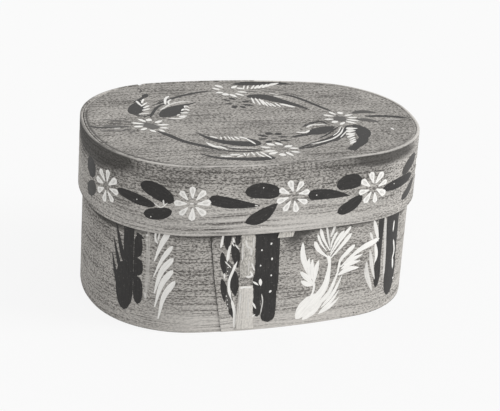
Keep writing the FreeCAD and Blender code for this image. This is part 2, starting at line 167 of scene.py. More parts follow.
class Oval:
    """Plan line of a wall's face, set in from the lid's outer face, walked from its front point."""

    def __init__(self, inset):
        front = Vector((WIDEST_X, SIDE_RADIUS - HALF_WIDTH))
        half = {}
        for hand, sign in (("right", 1), ("left", -1)):
            end_radius, corner_radius = END_RADIUS[hand], CORNER_RADIUS[hand]
            end = Vector((sign * (HALF_LENGTH - end_radius), 0))
            corner = crossing(front, SIDE_RADIUS - corner_radius, end, end_radius - corner_radius, sign)
            side_joint = front + (corner - front).normalized() * SIDE_RADIUS
            end_joint = end + (corner - end).normalized() * end_radius
            half[hand] = (end, corner, heading(front, side_joint), heading(end, end_joint))
        right_end, right_corner, right_side_turn, right_end_turn = half["right"]
        left_end, left_corner, left_side_turn, left_end_turn = half["left"]
        mirror = Vector((1, -1))
        arcs = [
            (front, SIDE_RADIUS, -math.pi / 2, right_side_turn),
            (right_corner, CORNER_RADIUS["right"], right_side_turn, right_end_turn),
            (right_end, END_RADIUS["right"], right_end_turn, -right_end_turn),
            (right_corner * mirror, CORNER_RADIUS["right"], -right_end_turn, -right_side_turn),
            (front * mirror, SIDE_RADIUS, -right_side_turn, -left_side_turn),
            (left_corner * mirror, CORNER_RADIUS["left"], -left_side_turn, -left_end_turn),
            (left_end, END_RADIUS["left"], -left_end_turn, left_end_turn),
            (left_corner, CORNER_RADIUS["left"], left_end_turn, left_side_turn),
            (front, SIDE_RADIUS, left_side_turn, -math.pi / 2),
        ]
        self.arcs, self.length = [], 0.0
        for centre, radius, begin, end in arcs:
            stretch = ((end - begin) % (2 * math.pi)) * (radius - inset)
            self.arcs.append((self.length, centre, radius - inset, begin))
            self.length += stretch

    def walk(self, ways):
        """Points and outward directions at ways round the wall."""
        ways = np.mod(np.asarray(ways, float), self.length)
        starts = np.array([arc[0] for arc in self.arcs])
        which = np.searchsorted(starts, ways, side="right") - 1
        centres = np.array([tuple(arc[1]) for arc in self.arcs])[which]
        radii = np.array([arc[2] for arc in self.arcs])[which]
        turns = np.array([arc[3] for arc in self.arcs])[which] + (ways - starts[which]) / radii
        outward = np.stack([np.cos(turns), np.sin(turns)], -1)
        return centres + outward * radii[..., None], outward

    def tip_way(self):
        """Way from the front point to the right tip."""
        start, _, radius, begin = self.arcs[2]
        return start - begin * radius

    def line_object(self, name):
        """Closed curve object for the node trees that follow the wall."""
        count = round(self.length / LINE_STEP)
        points, _ = self.walk(np.arange(count) * self.length / count)
        curve = bpy.data.curves.new(name, "CURVE")
        curve.dimensions = "3D"
        spline = curve.splines.new("POLY")
        spline.points.add(count - 1)
        spline.points.foreach_set("co", np.c_[points, np.zeros(count), np.ones(count)].ravel())
        spline.use_cyclic_u = True
        line = bpy.data.objects.new(name, curve)
        bpy.context.collection.objects.link(line)
        return line


LID_OVAL, BOX_OVAL = Oval(0.0), Oval(BOX_INSET)


# the sum of waves that a ripple is, and the pitches of each over its two coordinates
RIPPLE_WAVES, RIPPLE_PITCHES = 5, ((16, 60), (20, 90))
# a lap's slanted end is bowed over the lower part of its height, which is the whole divided by this
BOW_SHARE = 1.25


def ramp(value, start, width):
    """Share from 0 to 1 that grows over a width from a start."""
    return np.clip((value - start) / width, 0, 1)


def ripple(a, b, seed):
    """Slow smooth unevenness between -1 and 1 over two coordinates in metres."""
    chance = np.random.default_rng(seed)
    total = 0
    for _ in range(RIPPLE_WAVES):
        pitch_a, pitch_b = (chance.uniform(*limits) for limits in RIPPLE_PITCHES)
        total = total + np.sin(a * pitch_a * 2 + b * pitch_b + chance.uniform(0, 2 * math.pi))
    return total / RIPPLE_WAVES


def lap_edge(lap, height, foot, top):
    """Way of the lap's slanted end at a height."""
    share = (height - foot) / (top - foot)
    bow = np.sin(math.pi * np.clip(share * BOW_SHARE, 0, 1))
    return lap["foot"] - lap["slant"] * share - lap["bow"] * bow


def wall_face(part, way, height):
    """Lift of a band's worn outer face, with its proud lap."""
    way, height = np.asarray(way, float), np.asarray(height, float)
    lap, oval, foot, top, seed = {
        "box": (BOX_LAP, BOX_OVAL, 0.0, BOX_TOP, 21), "lid": (LID_LAP, LID_OVAL, LID_FOOT, LID_TOP, 22),
    }[part]
    edge = lap_edge(lap, height, foot, top)
    past = np.mod(way - edge, oval.length)
    along = np.clip(past / (lap["merge"] - edge), 0, 1)
    return -FACE_DROP + FACE_WAVE * ripple(past, height, seed) + lap["step"] * (1 - along) ** 2


class Shape:
    """Mesh being gathered: points, faces, and for each point its place on the wood and on the stroke."""

    def __init__(self):
        self.points, self.faces, self.grain, self.stroke, self.marks = [], [], [], [], []
        self.count = 0

    def grid(self, points, grain, stroke=None, marks=None, closed_across=False):
        """Faces over a grid of points; marks are two values, such as soil with painted shade and wear with
        painted light.
        """
        rows, columns = points.shape[:2]
        index = self.count + np.arange(rows * columns).reshape(rows, columns)
        stroke = grain if stroke is None else stroke
        marks = np.zeros((rows, columns, 2)) if marks is None else marks
        self.points.append(points.reshape(-1, 3))
        self.grain.append(grain.reshape(-1, 2))
        self.stroke.append(stroke.reshape(-1, 2))
        self.marks.append(marks.reshape(-1, 2))
        self.count += rows * columns
        across = np.roll(index, -1, axis=1) if closed_across else index[:, 1:]
        near = index if closed_across else index[:, :-1]
        self.faces.append(np.stack([near[:-1], across[:-1], across[1:], near[1:]], -1).reshape(-1, 4))
        return index

    def quads(self, quads):
        """Faces between points that are already there."""
        self.faces.append(np.asarray(quads).reshape(-1, 4))

    def cap(self, ring, flip):
        """Close a ring whose two halves lie opposite each other with a strip of faces."""
        strip = [[ring[i], ring[i + 1], ring[-i - 2], ring[-i - 1]] for i in range(len(ring) // 2 - 1)]
        self.quads([quad[::-1] for quad in strip] if flip else strip)

    def make(self, name):
        """Object of the gathered mesh, with its places and marks as UV maps."""
        points, faces = np.concatenate(self.points), np.concatenate(self.faces)
        grain, stroke = np.concatenate(self.grain), np.concatenate(self.stroke)
        marks = np.concatenate(self.marks)
        mesh = bpy.data.meshes.new(name)
        mesh.from_pydata(points, [], faces.tolist())
        for layer, values in (("Grain", grain), ("Stroke", stroke), ("Marks", marks)):
            loops = np.empty(len(mesh.loops), np.int32)
            mesh.loops.foreach_get("vertex_index", loops)
            mesh.uv_layers.new(name=layer).data.foreach_set("uv", values[loops].astype(np.float32).ravel())
        mesh.validate()
        made = bpy.data.objects.new(name, mesh)
        bpy.context.collection.objects.link(made)
        return made


# a band's mesh beside its lap: room before its first and after its last column, and the crevice's columns
FIRST_ROOM, LAST_ROOM, CREVICE_ROOM = 0.25 * MM, 0.05 * MM, (0.9, 0.4)
# a row that is nearer to a slit's edge than this share of the row step moves to it
NEAR_ROW = 0.45


def band_columns(part):
    """Offsets of a band's mesh columns from its lap's end, the last one a copy of the first."""
    sizes = bpy.context.scene.bentwood_sizes
    lap, oval, slit_ways = (
        (BOX_LAP, BOX_OVAL, BOX_SLITS[0]) if part == "box" else (LID_LAP, LID_OVAL, LID_SLITS[0]))
    middle = lap["foot"] - lap["slant"] / 2
    count = round(oval.length / sizes.column_step)
    spread = np.linspace(FIRST_ROOM, oval.length - LAST_ROOM, count)
    for way in slit_ways:
        spread[np.argmin(abs(spread - (way - middle)))] = way - middle
    crevice = oval.length - np.array(CREVICE_ROOM) * MM
    return middle, np.r_[spread[:-1], crevice, spread[-1], oval.length + FIRST_ROOM]


def band_heights(foot, top, slits):
    """Heights of a band's mesh rows, with one at each slit's foot and top."""
    step = bpy.context.scene.bentwood_sizes.row_step
    heights = np.linspace(foot, top, round((top - foot) / step))
    for pair in slits:
        for height in np.array(pair) * MM:
            near = np.argmin(abs(heights - height))
            if abs(heights[near] - height) > NEAR_ROW * step or height in heights:
                heights = np.sort(np.append(heights, height))
            else:
                heights[near] = height
    return np.unique(heights)


# a band's section: how far its edges are rounded from the outer face and from the inner one
EDGE_ROUNDING, INNER_ROUNDING = 0.75 * MM, 0.5 * MM
# the middle of an outer edge's rounding, as its depth and its distance from the edge
ROUND_DEPTH, ROUND_ROOM = 0.22 * MM, 0.3 * MM
# rows of the mesh keep this far from a band's edges, and its end faces are set in by a hair
EDGE_ROOM, HAIR = 0.8 * MM, 0.02 * MM
# the mesh shears to follow the slanted lap over this stretch of wall
LAP_FADE = 20 * MM
# the chip in the lid's rim: its way round, its depth, how steeply its sides rise, and how deep it can reach
CHIP_WAY, CHIP_DEPTH, CHIP_SLOPE, CHIP_REACH = 468.2 * MM, 1.9 * MM, 0.9, 3 * MM
# painted light low on the outer faces of both walls, as from the floor, strongest at the front: its height,
# its share all round and in the middle, and the middle's place
LOW_LIGHT_HEIGHT, LOW_LIGHT_ALL, LOW_LIGHT_FRONT = 34 * MM, 0.12, 0.88
LOW_LIGHT_WAY, LOW_LIGHT_REACH = 4.0, 90.0
# wear of the edges at the front's left end, and where it starts to grow to full and over what width
LEFT_WEAR, WEAR_START, WEAR_WIDTH = 0.45, -130 * MM, 60 * MM
# dirt and painted shade in the lap's crevice: its reach in millimetres; and a painted contact shadow under
# the box's foot: its height and its strength
CREVICE_DIRT_AND_SHADE_REACH, CONTACT_SHADOW_TOP, CONTACT_SHADOW = 0.7, 0.9 * MM, 0.95


def spot(place, middle, reach):
    """Soft spot, 1 at its middle, along one coordinate; its middle and reach are in millimetres."""
    return np.exp(-(((place - middle * MM) / (reach * MM)) ** 2))


def band_section(part, rows, foot, top):
    """Rows of a band's section from its foot up the outer face and down the inner one."""
    foot_wear = 0.0 if part == "box" else 0.6
    return [
        *((0.0, z, 0.0, True) for z in rows),
        (-ROUND_DEPTH, top - ROUND_ROOM, 0.8, True), (-EDGE_ROUNDING, top - HAIR, 1.0, True),
        (-WALL + INNER_ROUNDING, top - HAIR, 0.7, False), (-WALL, top - INNER_ROUNDING, 0.4, False),
        *((-WALL, z, 0.0, False) for z in rows[::-1]),
        (-WALL, foot + INNER_ROUNDING, 0.2, False), (-WALL + INNER_ROUNDING, foot + HAIR, 0.5, False),
        (-EDGE_ROUNDING, foot + HAIR, foot_wear, True), (-ROUND_DEPTH, foot + ROUND_ROOM, foot_wear, True)]


def band_marks(part, spread, way, z, wear_and_light, outer):
    """Soil with painted shade, and wear with painted light, of a band at each point of its mesh."""
    oval, foot = {"box": (BOX_OVAL, 0.0), "lid": (LID_OVAL, LID_FOOT)}[part]
    to_edge = np.minimum(abs(oval.length - spread), spread + 0.4 * MM)[None, :]
    # dirt and painted shade along the lap's crevice
    soil_and_shade = soil_and_shade_of(part, way, z, outer) + np.where(outer, spot(to_edge, 0, CREVICE_DIRT_AND_SHADE_REACH), 0)
    # painted contact shadow along the box's foot
    if part == "box":
        soil_and_shade = np.where(outer & (z < CONTACT_SHADOW_TOP), CONTACT_SHADOW, soil_and_shade)
    front_way = np.mod(way + oval.length / 2, oval.length) - oval.length / 2
    front = LEFT_WEAR + (1 - LEFT_WEAR) * ramp(front_way, WEAR_START, WEAR_WIDTH)
    # painted light: the walls are lighter low on their front
    low = np.clip(1 - (z - foot) / LOW_LIGHT_HEIGHT, 0, 1) * outer
    painted_low_light = (LOW_LIGHT_ALL + LOW_LIGHT_FRONT * spot(front_way, LOW_LIGHT_WAY, LOW_LIGHT_REACH)) * low
    return np.stack([np.clip(soil_and_shade, 0, 1), np.maximum(wear_and_light * front, painted_low_light)], -1)


def cut_slit(shape, index, inner, levels, columns):
    """Walls of one slit that goes through a band, between two rows and two columns of its mesh."""
    (foot, top), (first, last) = levels, columns
    for c in range(first, last):
        shape.quads([index[foot, c], index[inner(foot), c], index[inner(foot), c + 1], index[foot, c + 1]])
        shape.quads([index[top, c + 1], index[inner(top), c + 1], index[inner(top), c], index[top, c]])
    for r in range(foot, top):
        up = r + 1
        shape.quads([index[up, first], index[inner(up), first], index[inner(r), first], index[r, first]])
        shape.quads([index[r, last], index[inner(r), last], index[inner(up), last], index[up, last]])


def make_band(part):
    """One bent band in wall coordinates: both faces, worn edges, lapped end and slits."""
    foot, top, oval, lap, (slit_ways, slits) = {
        "box": (0.0, BOX_TOP, BOX_OVAL, BOX_LAP, BOX_SLITS),
        "lid": (LID_FOOT, LID_TOP, LID_OVAL, LID_LAP, LID_SLITS)}[part]
    middle, spread = band_columns(part)
    rows = band_heights(foot + EDGE_ROOM, top - EDGE_ROOM, slits)
    section = band_section(part, rows, foot, top)
    lift, height, wear_and_light, outer = (np.array(item)[:, None] for item in zip(*section))
    fade = np.clip(1 - np.minimum(spread, oval.length - spread) / LAP_FADE, 0, 1)
    z = np.repeat(height, len(spread), 1)
    way = middle + spread + (lap_edge(lap, z, foot, top) - middle) * fade
    face = wall_face(part, way, z)
    face[:, -1] = face[:, 0]
    offset = np.where(outer, face + lift, lift)
    if part == "lid":
        drop = np.clip(CHIP_DEPTH - abs(way - CHIP_WAY) * CHIP_SLOPE, 0, None)
        z = np.where(z > top - CHIP_REACH, np.minimum(z, top - HAIR - drop), z)
    shape = Shape()
    grain = np.stack([middle + spread + 0 * z, z], -1)
    marks = band_marks(part, spread, way, z, wear_and_light, outer)
    index = shape.grid(np.stack([way, offset, z], -1), grain, marks=marks)
    shape.quads(np.stack([index[-1, :-1], index[-1, 1:], index[0, 1:], index[0, :-1]], -1))
    kept = shape.faces[0].reshape(len(section) - 1, -1, 4)
    keep = np.ones(kept.shape[:2], bool)
    first, last = (int(np.argmin(abs(spread - (w - middle)))) for w in slit_ways)
    inner_top = 2 * len(rows) + 3

    def inner(row):
        return inner_top - row

    for pair in slits:
        a, b = (int(np.argmin(abs(rows - height * MM))) for height in pair)
        keep[a:b, first:last] = False
        keep[inner(b):inner(a), first:last] = False
        cut_slit(shape, index, inner, (a, b), (first, last))
    shape.faces[0] = kept[keep]
    return shape.make(f"{part}_band_flat")


# dirt and painted shade under the lid's rim, darker towards the top of the wall: where it starts up the wall
# and over what share, its strength, and how it varies
RIM_RISE, RIM_DIRT_AND_SHADE, RIM_LEAST, RIM_PATCHES = (0.6, 0.28), 0.62, 0.55, 0.6
# stretches of the rim with more dirt and painted shade: strength, middle and reach of the way, then start and
# width of the rise
RIM_STRETCHES = ((0.55, (105, 42), (0.72, 0.15)), (0.7, (-150, 50), (0.4, 0.4)))
# the least dirt of the box, the dirt and painted shade under the lid's edge with its rise, and the painted
# shadow line along that edge
BOX_SOIL, UNDER_LID_DIRT_AND_SHADE, UNDER_RISE = 0.1, 0.4, (56 * MM, 30 * MM)
LID_SHADOW_STRENGTH, LID_SHADOW_LINE = 0.95, (82, 4.2)
# dirt low on the lid's wall and inside both bands
LOW_SOIL, INNER_SOIL = 0.12, 0.35
# darker spots, of dirt and of painted shade (on the box under the lid's edge, and at the left ends):
# strength, middle and reach of the way, and of the height where the spot has one
LID_DARK_SPOTS = ((0.26, (-118, 40)), (0.12, (140, 40)))
BOX_DARK_SPOTS = ((0.7, (38, 14), (73, 13)), (0.3, (-128, 42)))


def with_spots(soil_and_shade, spots, way, height):
    """Dirt and painted shade with the spots of a table added."""
    for strength, across, *levels in spots:
        dirt = strength * spot(way, *across)
        for level in levels:
            dirt = dirt * spot(height, *level)
        soil_and_shade = soil_and_shade + dirt
    return soil_and_shade


def soil_and_shade_of(part, way, height, outer):
    """Dirt with painted shade on a band, from 0 to 1: under the lid's rim, where the lid rubs with a painted
    shadow under its edge, and in patches of dirt.
    """
    length = {"box": BOX_OVAL, "lid": LID_OVAL}[part].length
    way = np.mod(way + length / 2, length) - length / 2
    if part == "lid":
        up = ramp(height, LID_FOOT, LID_TOP - LID_FOOT)
        patches = 0.5 + 0.5 * ripple(way * 1.4, height * 2, 31)
        # dirt with painted shade, darker towards the lid's rim
        soil_and_shade = ramp(up, *RIM_RISE) * RIM_DIRT_AND_SHADE * (RIM_LEAST + RIM_PATCHES * patches)
        for strength, stretch, rise in RIM_STRETCHES:
            soil_and_shade = soil_and_shade + strength * (spot(way, *stretch) * ramp(up, *rise))
        soil_and_shade = with_spots(soil_and_shade + LOW_SOIL * (1 - up), LID_DARK_SPOTS, way, height)
    else:
        under = ramp(height, *UNDER_RISE) * (0.6 + 0.6 * ripple(way, height, 33))
        # painted shade on the box under the lid, and a painted shadow line along the lid's edge
        soil_and_shade = BOX_SOIL + UNDER_LID_DIRT_AND_SHADE * under + LID_SHADOW_STRENGTH * spot(height, *LID_SHADOW_LINE)
        soil_and_shade = with_spots(soil_and_shade, BOX_DARK_SPOTS, way, height)
    return np.clip(np.where(outer, soil_and_shade, INNER_SOIL), 0, 1)


# a board: its rounding, the share of its outline where its rings end in the middle, and its worn upper face
BOARD_ROUNDING, BOARD_EYE, BOARD_DROP, BOARD_WAVE = 0.6 * MM, 0.03, 0.06 * MM, 0.05 * MM
# points of each ring of a board's mesh, and its rings below and above
BOARD_POINTS, UNDER_RINGS, UPPER_RINGS = 260, 12, 30
# dirt of a board's face and how much it varies, and where its dark edge of dirt and painted shade in the gap
# starts, as a share of the outline
BOARD_SOIL, BOARD_PATCHES, BOARD_EDGE = 0.36, 0.14, 0.975


def board_wave(x, y):
    """Slow unevenness of a board's upper face."""
    return BOARD_WAVE * ripple(x, y, 41)


def make_board(name, inset, levels, gap):
    """Oval board as rings from the middle of its underside out, up and back in to the middle of its top."""
    low, high = levels
    oval = Oval(inset)
    outline, outward = oval.walk(np.arange(BOARD_POINTS) * oval.length / BOARD_POINTS)
    left = ramp(-outline[:, 0], 60 * MM, 60 * MM)
    left = left * np.clip(0.7 - outline[:, 1] / HALF_WIDTH, 0, 1)
    outline = outline - outward * (gap * left)[:, None]
    rounding = BOARD_ROUNDING
    rings = [(k, 0.0, low) for k in np.linspace(BOARD_EYE, 1, UNDER_RINGS)]
    rings += [(1, 0.0, (low + high) / 2), (1, 0.0, high - rounding)]
    rings += [(1, 0.35 * rounding, high - 0.2 * rounding), (1, 1.2 * rounding, high), (1, 3 * rounding, high)]
    rings += [(k, rounding * 3 * k, high) for k in np.linspace(0.97, BOARD_EYE, UPPER_RINGS)]
    shape = Shape()
    rows = []
    for k, pull, level in rings:
        flat = outline * k - outward * pull
        warp = board_wave(flat[:, 0], flat[:, 1]) - BOARD_DROP if level == high else 0.0
        rows.append(np.c_[flat, np.full(BOARD_POINTS, level) + warp])
    points = np.stack(rows)
    wear_and_light = np.array([0.8 if k == 1 and 0 < pull <= 1.3 * rounding else 0.0 for k, pull, _ in rings])
    across = np.array([k for k, _, _ in rings])
    # dirt and painted shade in the gap round the board, strongest at the left front
    gap_dirt_and_shade = ramp(across, BOARD_EDGE, 0.025)[:, None] * (0.35 + 0.65 * left[None, :])
    patches = BOARD_SOIL + BOARD_PATCHES * ripple(points[..., 0], points[..., 1], 43)
    marks = np.stack([np.clip(gap_dirt_and_shade + patches, 0, 1), np.repeat(wear_and_light[:, None], BOARD_POINTS, 1)], -1)
    index = shape.grid(points, points[..., :2], marks=marks, closed_across=True)
    shape.cap(index[0], True)
    shape.cap(index[-1], False)
    return shape.make(name)


# a ribbon's front face above the wall, how its edges wander, and over how many rows that is levelled out
RIBBON_FACE, RIBBON_ROUGHNESS, LEVEL_ROWS = 0.88 * MM, 0.22 * MM, 13
# its mesh: step along it, points across each face, and how much thinner it is at its edges
RIBBON_STEP, RIBBON_POINTS, RIBBON_ARCH = 1.2 * MM, 7, 0.35
# a ribbon follows the wall's relief where it is above this lift
OUTSIDE_LIFT = -1.2 * MM
# the front ribbon is rubbed bright below this height, over this width, by this share
BRIGHT_HEIGHT, BRIGHT_WIDTH, BRIGHT_SHARE = 42 * MM, 4 * MM, 0.75


def ribbon_shape(name, part, path, sides, grain_seed):
    """Ribbon laced along a path of (lift, height), between ways that sides gives for a height."""
    thickness = bpy.context.scene.bentwood_sizes.ribbon_thickness
    path = np.array(path) * MM
    lengths = np.r_[0, np.cumsum(np.hypot(*np.diff(path, axis=0).T))]
    fine = np.unique(np.r_[np.arange(0, lengths[-1], RIBBON_STEP), lengths])
    path = np.stack([np.interp(fine, lengths, path[:, i]) for i in (0, 1)], -1)
    slope = np.gradient(path, axis=0)
    slope /= np.hypot(*slope.T)[:, None]
    normal = np.stack([slope[:, 1], -slope[:, 0]], -1)
    across = np.linspace(0, 1, RIBBON_POINTS)
    chance = np.random.default_rng(grain_seed)
    rough = chance.normal(0, RIBBON_ROUGHNESS, (len(fine), 2)).cumsum(0)
    window = np.ones(LEVEL_ROWS) / LEVEL_ROWS
    rough -= np.stack([np.convolve(np.pad(r, LEVEL_ROWS // 2, "edge"), window, "valid") for r in rough.T], -1)
    low, high = sides(path[:, 1])
    low, high = low + rough[:, 0], high + rough[:, 1]
    rows = []
    for half, order in ((0.5, across), (-0.5, across[::-1])):
        way = low[:, None] + (high - low)[:, None] * order[None, :]
        arch = 1 - RIBBON_ARCH * abs(2 * order - 1) ** 3
        shift = normal[:, None, :] * (half * thickness * arch)[None, :, None]
        rows.append(np.concatenate([way[..., None], path[:, None, :] + shift], -1))
    points = np.concatenate(rows, 1)
    outside = points[..., 1] > OUTSIDE_LIFT
    points[..., 1] += np.where(outside, wall_face(part, points[..., 0], points[..., 2]), 0)
    grain = np.stack([fine[:, None] + 0 * points[..., 0], points[..., 0]], -1)
    shape = Shape()
    bright = 0.2 + 0 * grain[..., 0]
    if part == "box":
        bright = np.clip((BRIGHT_HEIGHT - points[..., 2]) / BRIGHT_WIDTH, 0, 1) * BRIGHT_SHARE
    marks = np.stack([0.25 - 0.2 * bright, bright], -1)
    index = shape.grid(points, grain, marks=marks, closed_across=True)[:, ::-1]
    shape.cap(index[0], False)
    shape.cap(index[-1], True)
    return shape.make(name)


# samples between two points of a smooth line, and the least steps of a whole line
LINE_SAMPLES, LEAST_STEPS = 12, 5


def smooth_line(points, step):
    """Points about a step apart along a smooth line through the given ones, and how far along each is."""
    points = np.array(points, float)
    if len(points) == 2:
        points = np.stack([points[0], points.mean(0), points[1]])
    padded = np.concatenate([[2 * points[0] - points[1]], points, [2 * points[-1] - points[-2]]])
    share = np.linspace(0, 1, LINE_SAMPLES, endpoint=False)[:, None]
    pieces = []
    for a, b, c, d in zip(padded, padded[1:], padded[2:], padded[3:]):
        pieces.append(0.5 * (2 * b + (c - a) * share + (2 * a - 5 * b + 4 * c - d) * share ** 2
                             + (3 * b - a - 3 * c + d) * share ** 3))
    line = np.concatenate(pieces + [points[-1:]])
    run = np.r_[0, np.cumsum(np.hypot(*np.diff(line, axis=0).T))]
    count = max(LEAST_STEPS, math.ceil(run[-1] / step))
    even = np.linspace(0, run[-1], count + 1)
    return np.stack([np.interp(even, run, line[:, i]) for i in (0, 1)], -1), even


# half width of a stroke over its length's share, 1 at its widest
PROFILES = {
    "leaf": lambda t: np.sin(math.pi * t ** 0.85) ** 0.75,
    "oval": lambda t: (1 - abs(2 * t - 1) ** 2.3) ** 0.5,
    "blunt": lambda t: (
        (1 - (1 - np.clip(t * 5, 0, 1)) ** 3) ** 0.5 * np.clip(1.25 * (1 - t ** 1.7), 0, 1) ** 0.8),
    "bar": lambda t: (1 - abs(2 * t - 1) ** 7) ** 0.5,
    "line": lambda t: np.clip(np.minimum(7 * t, 5 * (1 - t)), 0, 1) ** 0.6,
    "drop": lambda t: np.clip(0.18 + 1.05 * t, 0, 1) * (1 - np.clip(t, 0, 1) ** 8) ** 0.5,
    "brush": lambda t: np.clip(1.23 - 1.05 * t, 0, 1) * (1 - (1 - np.clip(t, 0, 1)) ** 8) ** 0.5,
}


# a stroke's mesh: step along it, width of its cells in millimetres, and its least width as a share
STROKE_STEP, STROKE_CELL, LEAST_WIDTH = 1.6 * MM, 2.4, 0.03
# unevenness of a stroke's width and of its edges
UNEVEN_WIDTH, RAGGED_EDGE = 0.018, 0.045 * MM


def add_stroke(shape, place, grain_place, row, lift, chance):
    """One brush stroke as a thin closed shell. A row is width, profile, cover and points in millimetres."""
    width, profile, cover, *points = row
    spine, run = smooth_line(np.array(points) * MM, STROKE_STEP)
    share = run / run[-1]
    half = PROFILES[profile](share) * width * MM / 2
    half = np.maximum(half * (1 + UNEVEN_WIDTH * chance.normal(size=len(half))), LEAST_WIDTH * width * MM)
    slope = np.gradient(spine, axis=0)
    slope /= np.hypot(*slope.T)[:, None]
    side = np.stack([-slope[:, 1], slope[:, 0]], -1)
    cells = max(2, math.ceil(width / STROKE_CELL))
    across = np.linspace(-1, 1, cells + 1)
    flat = spine[:, None] + side[:, None] * (half[:, None] * across[None, :])[..., None]
    ragged = RAGGED_EDGE * chance.normal(size=(len(spine), 2))
    flat[:, 0] += side * ragged[:, :1]
    flat[:, -1] += side * ragged[:, 1:]
    points = np.concatenate([place(flat, lift), place(flat, -PAINT_SINK)[:, ::-1]], 1)
    on_wood = grain_place(flat)
    grain = np.concatenate([on_wood, on_wood[:, ::-1]], 1)
    stroke = np.stack([run[:, None] + 0 * flat[..., 0], half[:, None] * across[None, :]], -1)
    stroke = np.concatenate([stroke, stroke[:, ::-1]], 1) + chance.uniform(0, 1, 2)
    marks = np.full(points.shape[:2] + (2,), cover)
    marks[..., 1] = chance.uniform()
    index = shape.grid(points, grain, stroke, marks, closed_across=True)
    shape.cap(index[0], False)
    shape.cap(index[-1], True)


def wall_grain(part):
    """Place on a band's wood for a way and height, as the band's own mesh has it."""
    lap, oval = {"box": (BOX_LAP, BOX_OVAL), "lid": (LID_LAP, LID_OVAL)}[part]
    middle = lap["foot"] - lap["slant"] / 2
    return lambda flat: np.stack([middle + np.mod(flat[..., 0] - middle, oval.length), flat[..., 1]], -1)


def on_wall(part):
    """Places on a wall for flat points of (way, height) and a lift."""

    def place(flat, lift):
        way, height = flat[..., 0], flat[..., 1]
        return np.stack([way, wall_face(part, way, height) + lift, height], -1)

    return place


def on_ribbon(flat, lift):
    """Places on the front ribbon, which lies on the wall."""
    return on_wall("box")(flat, lift + RIBBON_FACE)


def on_lid(flat, lift):
    """Places on the lid's board."""
    level = LID_BOARD[1] - BOARD_DROP + board_wave(flat[..., 0], flat[..., 1])
    return np.concatenate([flat, (level + lift)[..., None]], -1)


def painted(name, place, rows, lift, grain_place=lambda flat: flat):
    """Flat mesh of all the strokes in a table."""
    shape = Shape()
    chance = np.random.default_rng(SEED)
    for order, row in enumerate(rows):
        add_stroke(shape, place, grain_place, row, lift + LATER_LIFT * order, chance)
    return shape.make(name)


class Nodes:
    """Node tree being built: adds nodes and gives their sockets values or links."""

    def __init__(self, tree):
        self.tree = tree

    def add(self, kind, values=None, **settings):
        node = self.tree.nodes.new(kind)
        for key, value in settings.items():
            setattr(node, key, value)
        for key, value in (values or {}).items():
            socket = node.inputs[key]
            if isinstance(value, bpy.types.NodeSocket):
                self.tree.links.new(value, socket)
            else:
                socket.default_value = value
        return node

    def math(self, operation, first, second=0.0, third=0.0, clamp=False):
        values = {0: first, 1: second, 2: third}
        return self.add("ShaderNodeMath", values, operation=operation, use_clamp=clamp).outputs[0]

    def vector(self, operation, first, second=(0, 0, 0)):
        node = self.add("ShaderNodeVectorMath", {0: first, 1: second}, operation=operation)
        return node.outputs["Value" if operation in ("DOT_PRODUCT", "LENGTH") else "Vector"]

    def mix(self, factor, first, second, blend="MIX"):
        values = {0: factor, 6: first, 7: second}
        return self.add("ShaderNodeMix", values, data_type="RGBA", blend_type=blend).outputs[2]

    def spread(self, value, low, high, to_low=0.0, to_high=1.0):
        values = {0: value, 1: low, 2: high, 3: to_low, 4: to_high}
        return self.add("ShaderNodeMapRange", values, clamp=True).outputs[0]

    def noise(self, place, scales, detail=2.0, roughness=0.5):
        """Noise over a place that is first scaled along each of its axes."""
        scaled = self.vector("MULTIPLY", place, scales)
        values = {"Vector": scaled, "Scale": 1.0, "Detail": detail, "Roughness": roughness}
        return self.add("ShaderNodeTexNoise", values).outputs["Fac"]

    def joined(self, **parts):
        """Vector from its x, y and z."""
        values = {"xyz".index(axis): value for axis, value in parts.items()}
        return self.add("ShaderNodeCombineXYZ", values).outputs[0]

    def split(self, vector):
        return self.add("ShaderNodeSeparateXYZ", {0: vector}).outputs

    def chance(self, low, high, seed):
        """Random number for each element, from low to high."""
        values = {2: low, 3: high, "Seed": seed}
        return self.add("FunctionNodeRandomValue", values, data_type="FLOAT").outputs[1]

    def position(self):
        return self.add("GeometryNodeInputPosition").outputs[0]

    def named(self, name):
        """Vector attribute of the geometry."""
        kind = "GeometryNodeInputNamedAttribute"
        return self.add(kind, {"Name": name}, data_type="FLOAT_VECTOR").outputs[0]

    def finish_tree(self, geometry, given, result):
        """End a Geometry Nodes tree: make instances real and give the whole its material."""
        whole = self.add("GeometryNodeRealizeInstances", {0: geometry}).outputs[0]
        finished = self.add("GeometryNodeSetMaterial", {0: whole, "Material": given.outputs["Material"]})
        self.tree.links.new(finished.outputs[0], result.inputs[0])


# kinds of sockets, each with its plain default
GEOMETRY, OBJECT = ("NodeSocketGeometry", None), ("NodeSocketObject", None)
MATERIAL, VECTOR, COLOUR = ("NodeSocketMaterial", None), ("NodeSocketVector", None), ("NodeSocketColor", None)


def number(default):
    return "NodeSocketFloat", default


def whole_number(default):
    return "NodeSocketInt", default


def group_nodes(name, kind, inputs, outputs):
    """New node group with named sockets: its builder, its input node and its output node."""
    tree = bpy.data.node_groups.new(name, kind)
    for label, (socket, default) in inputs.items():
        made = tree.interface.new_socket(label, in_out="INPUT", socket_type=socket)
        if default is not None:
            made.default_value = default
    for label, socket in outputs.items():
        tree.interface.new_socket(label, in_out="OUTPUT", socket_type=socket)
    nodes = Nodes(tree)
    return nodes, nodes.add("NodeGroupInput"), nodes.add("NodeGroupOutput")


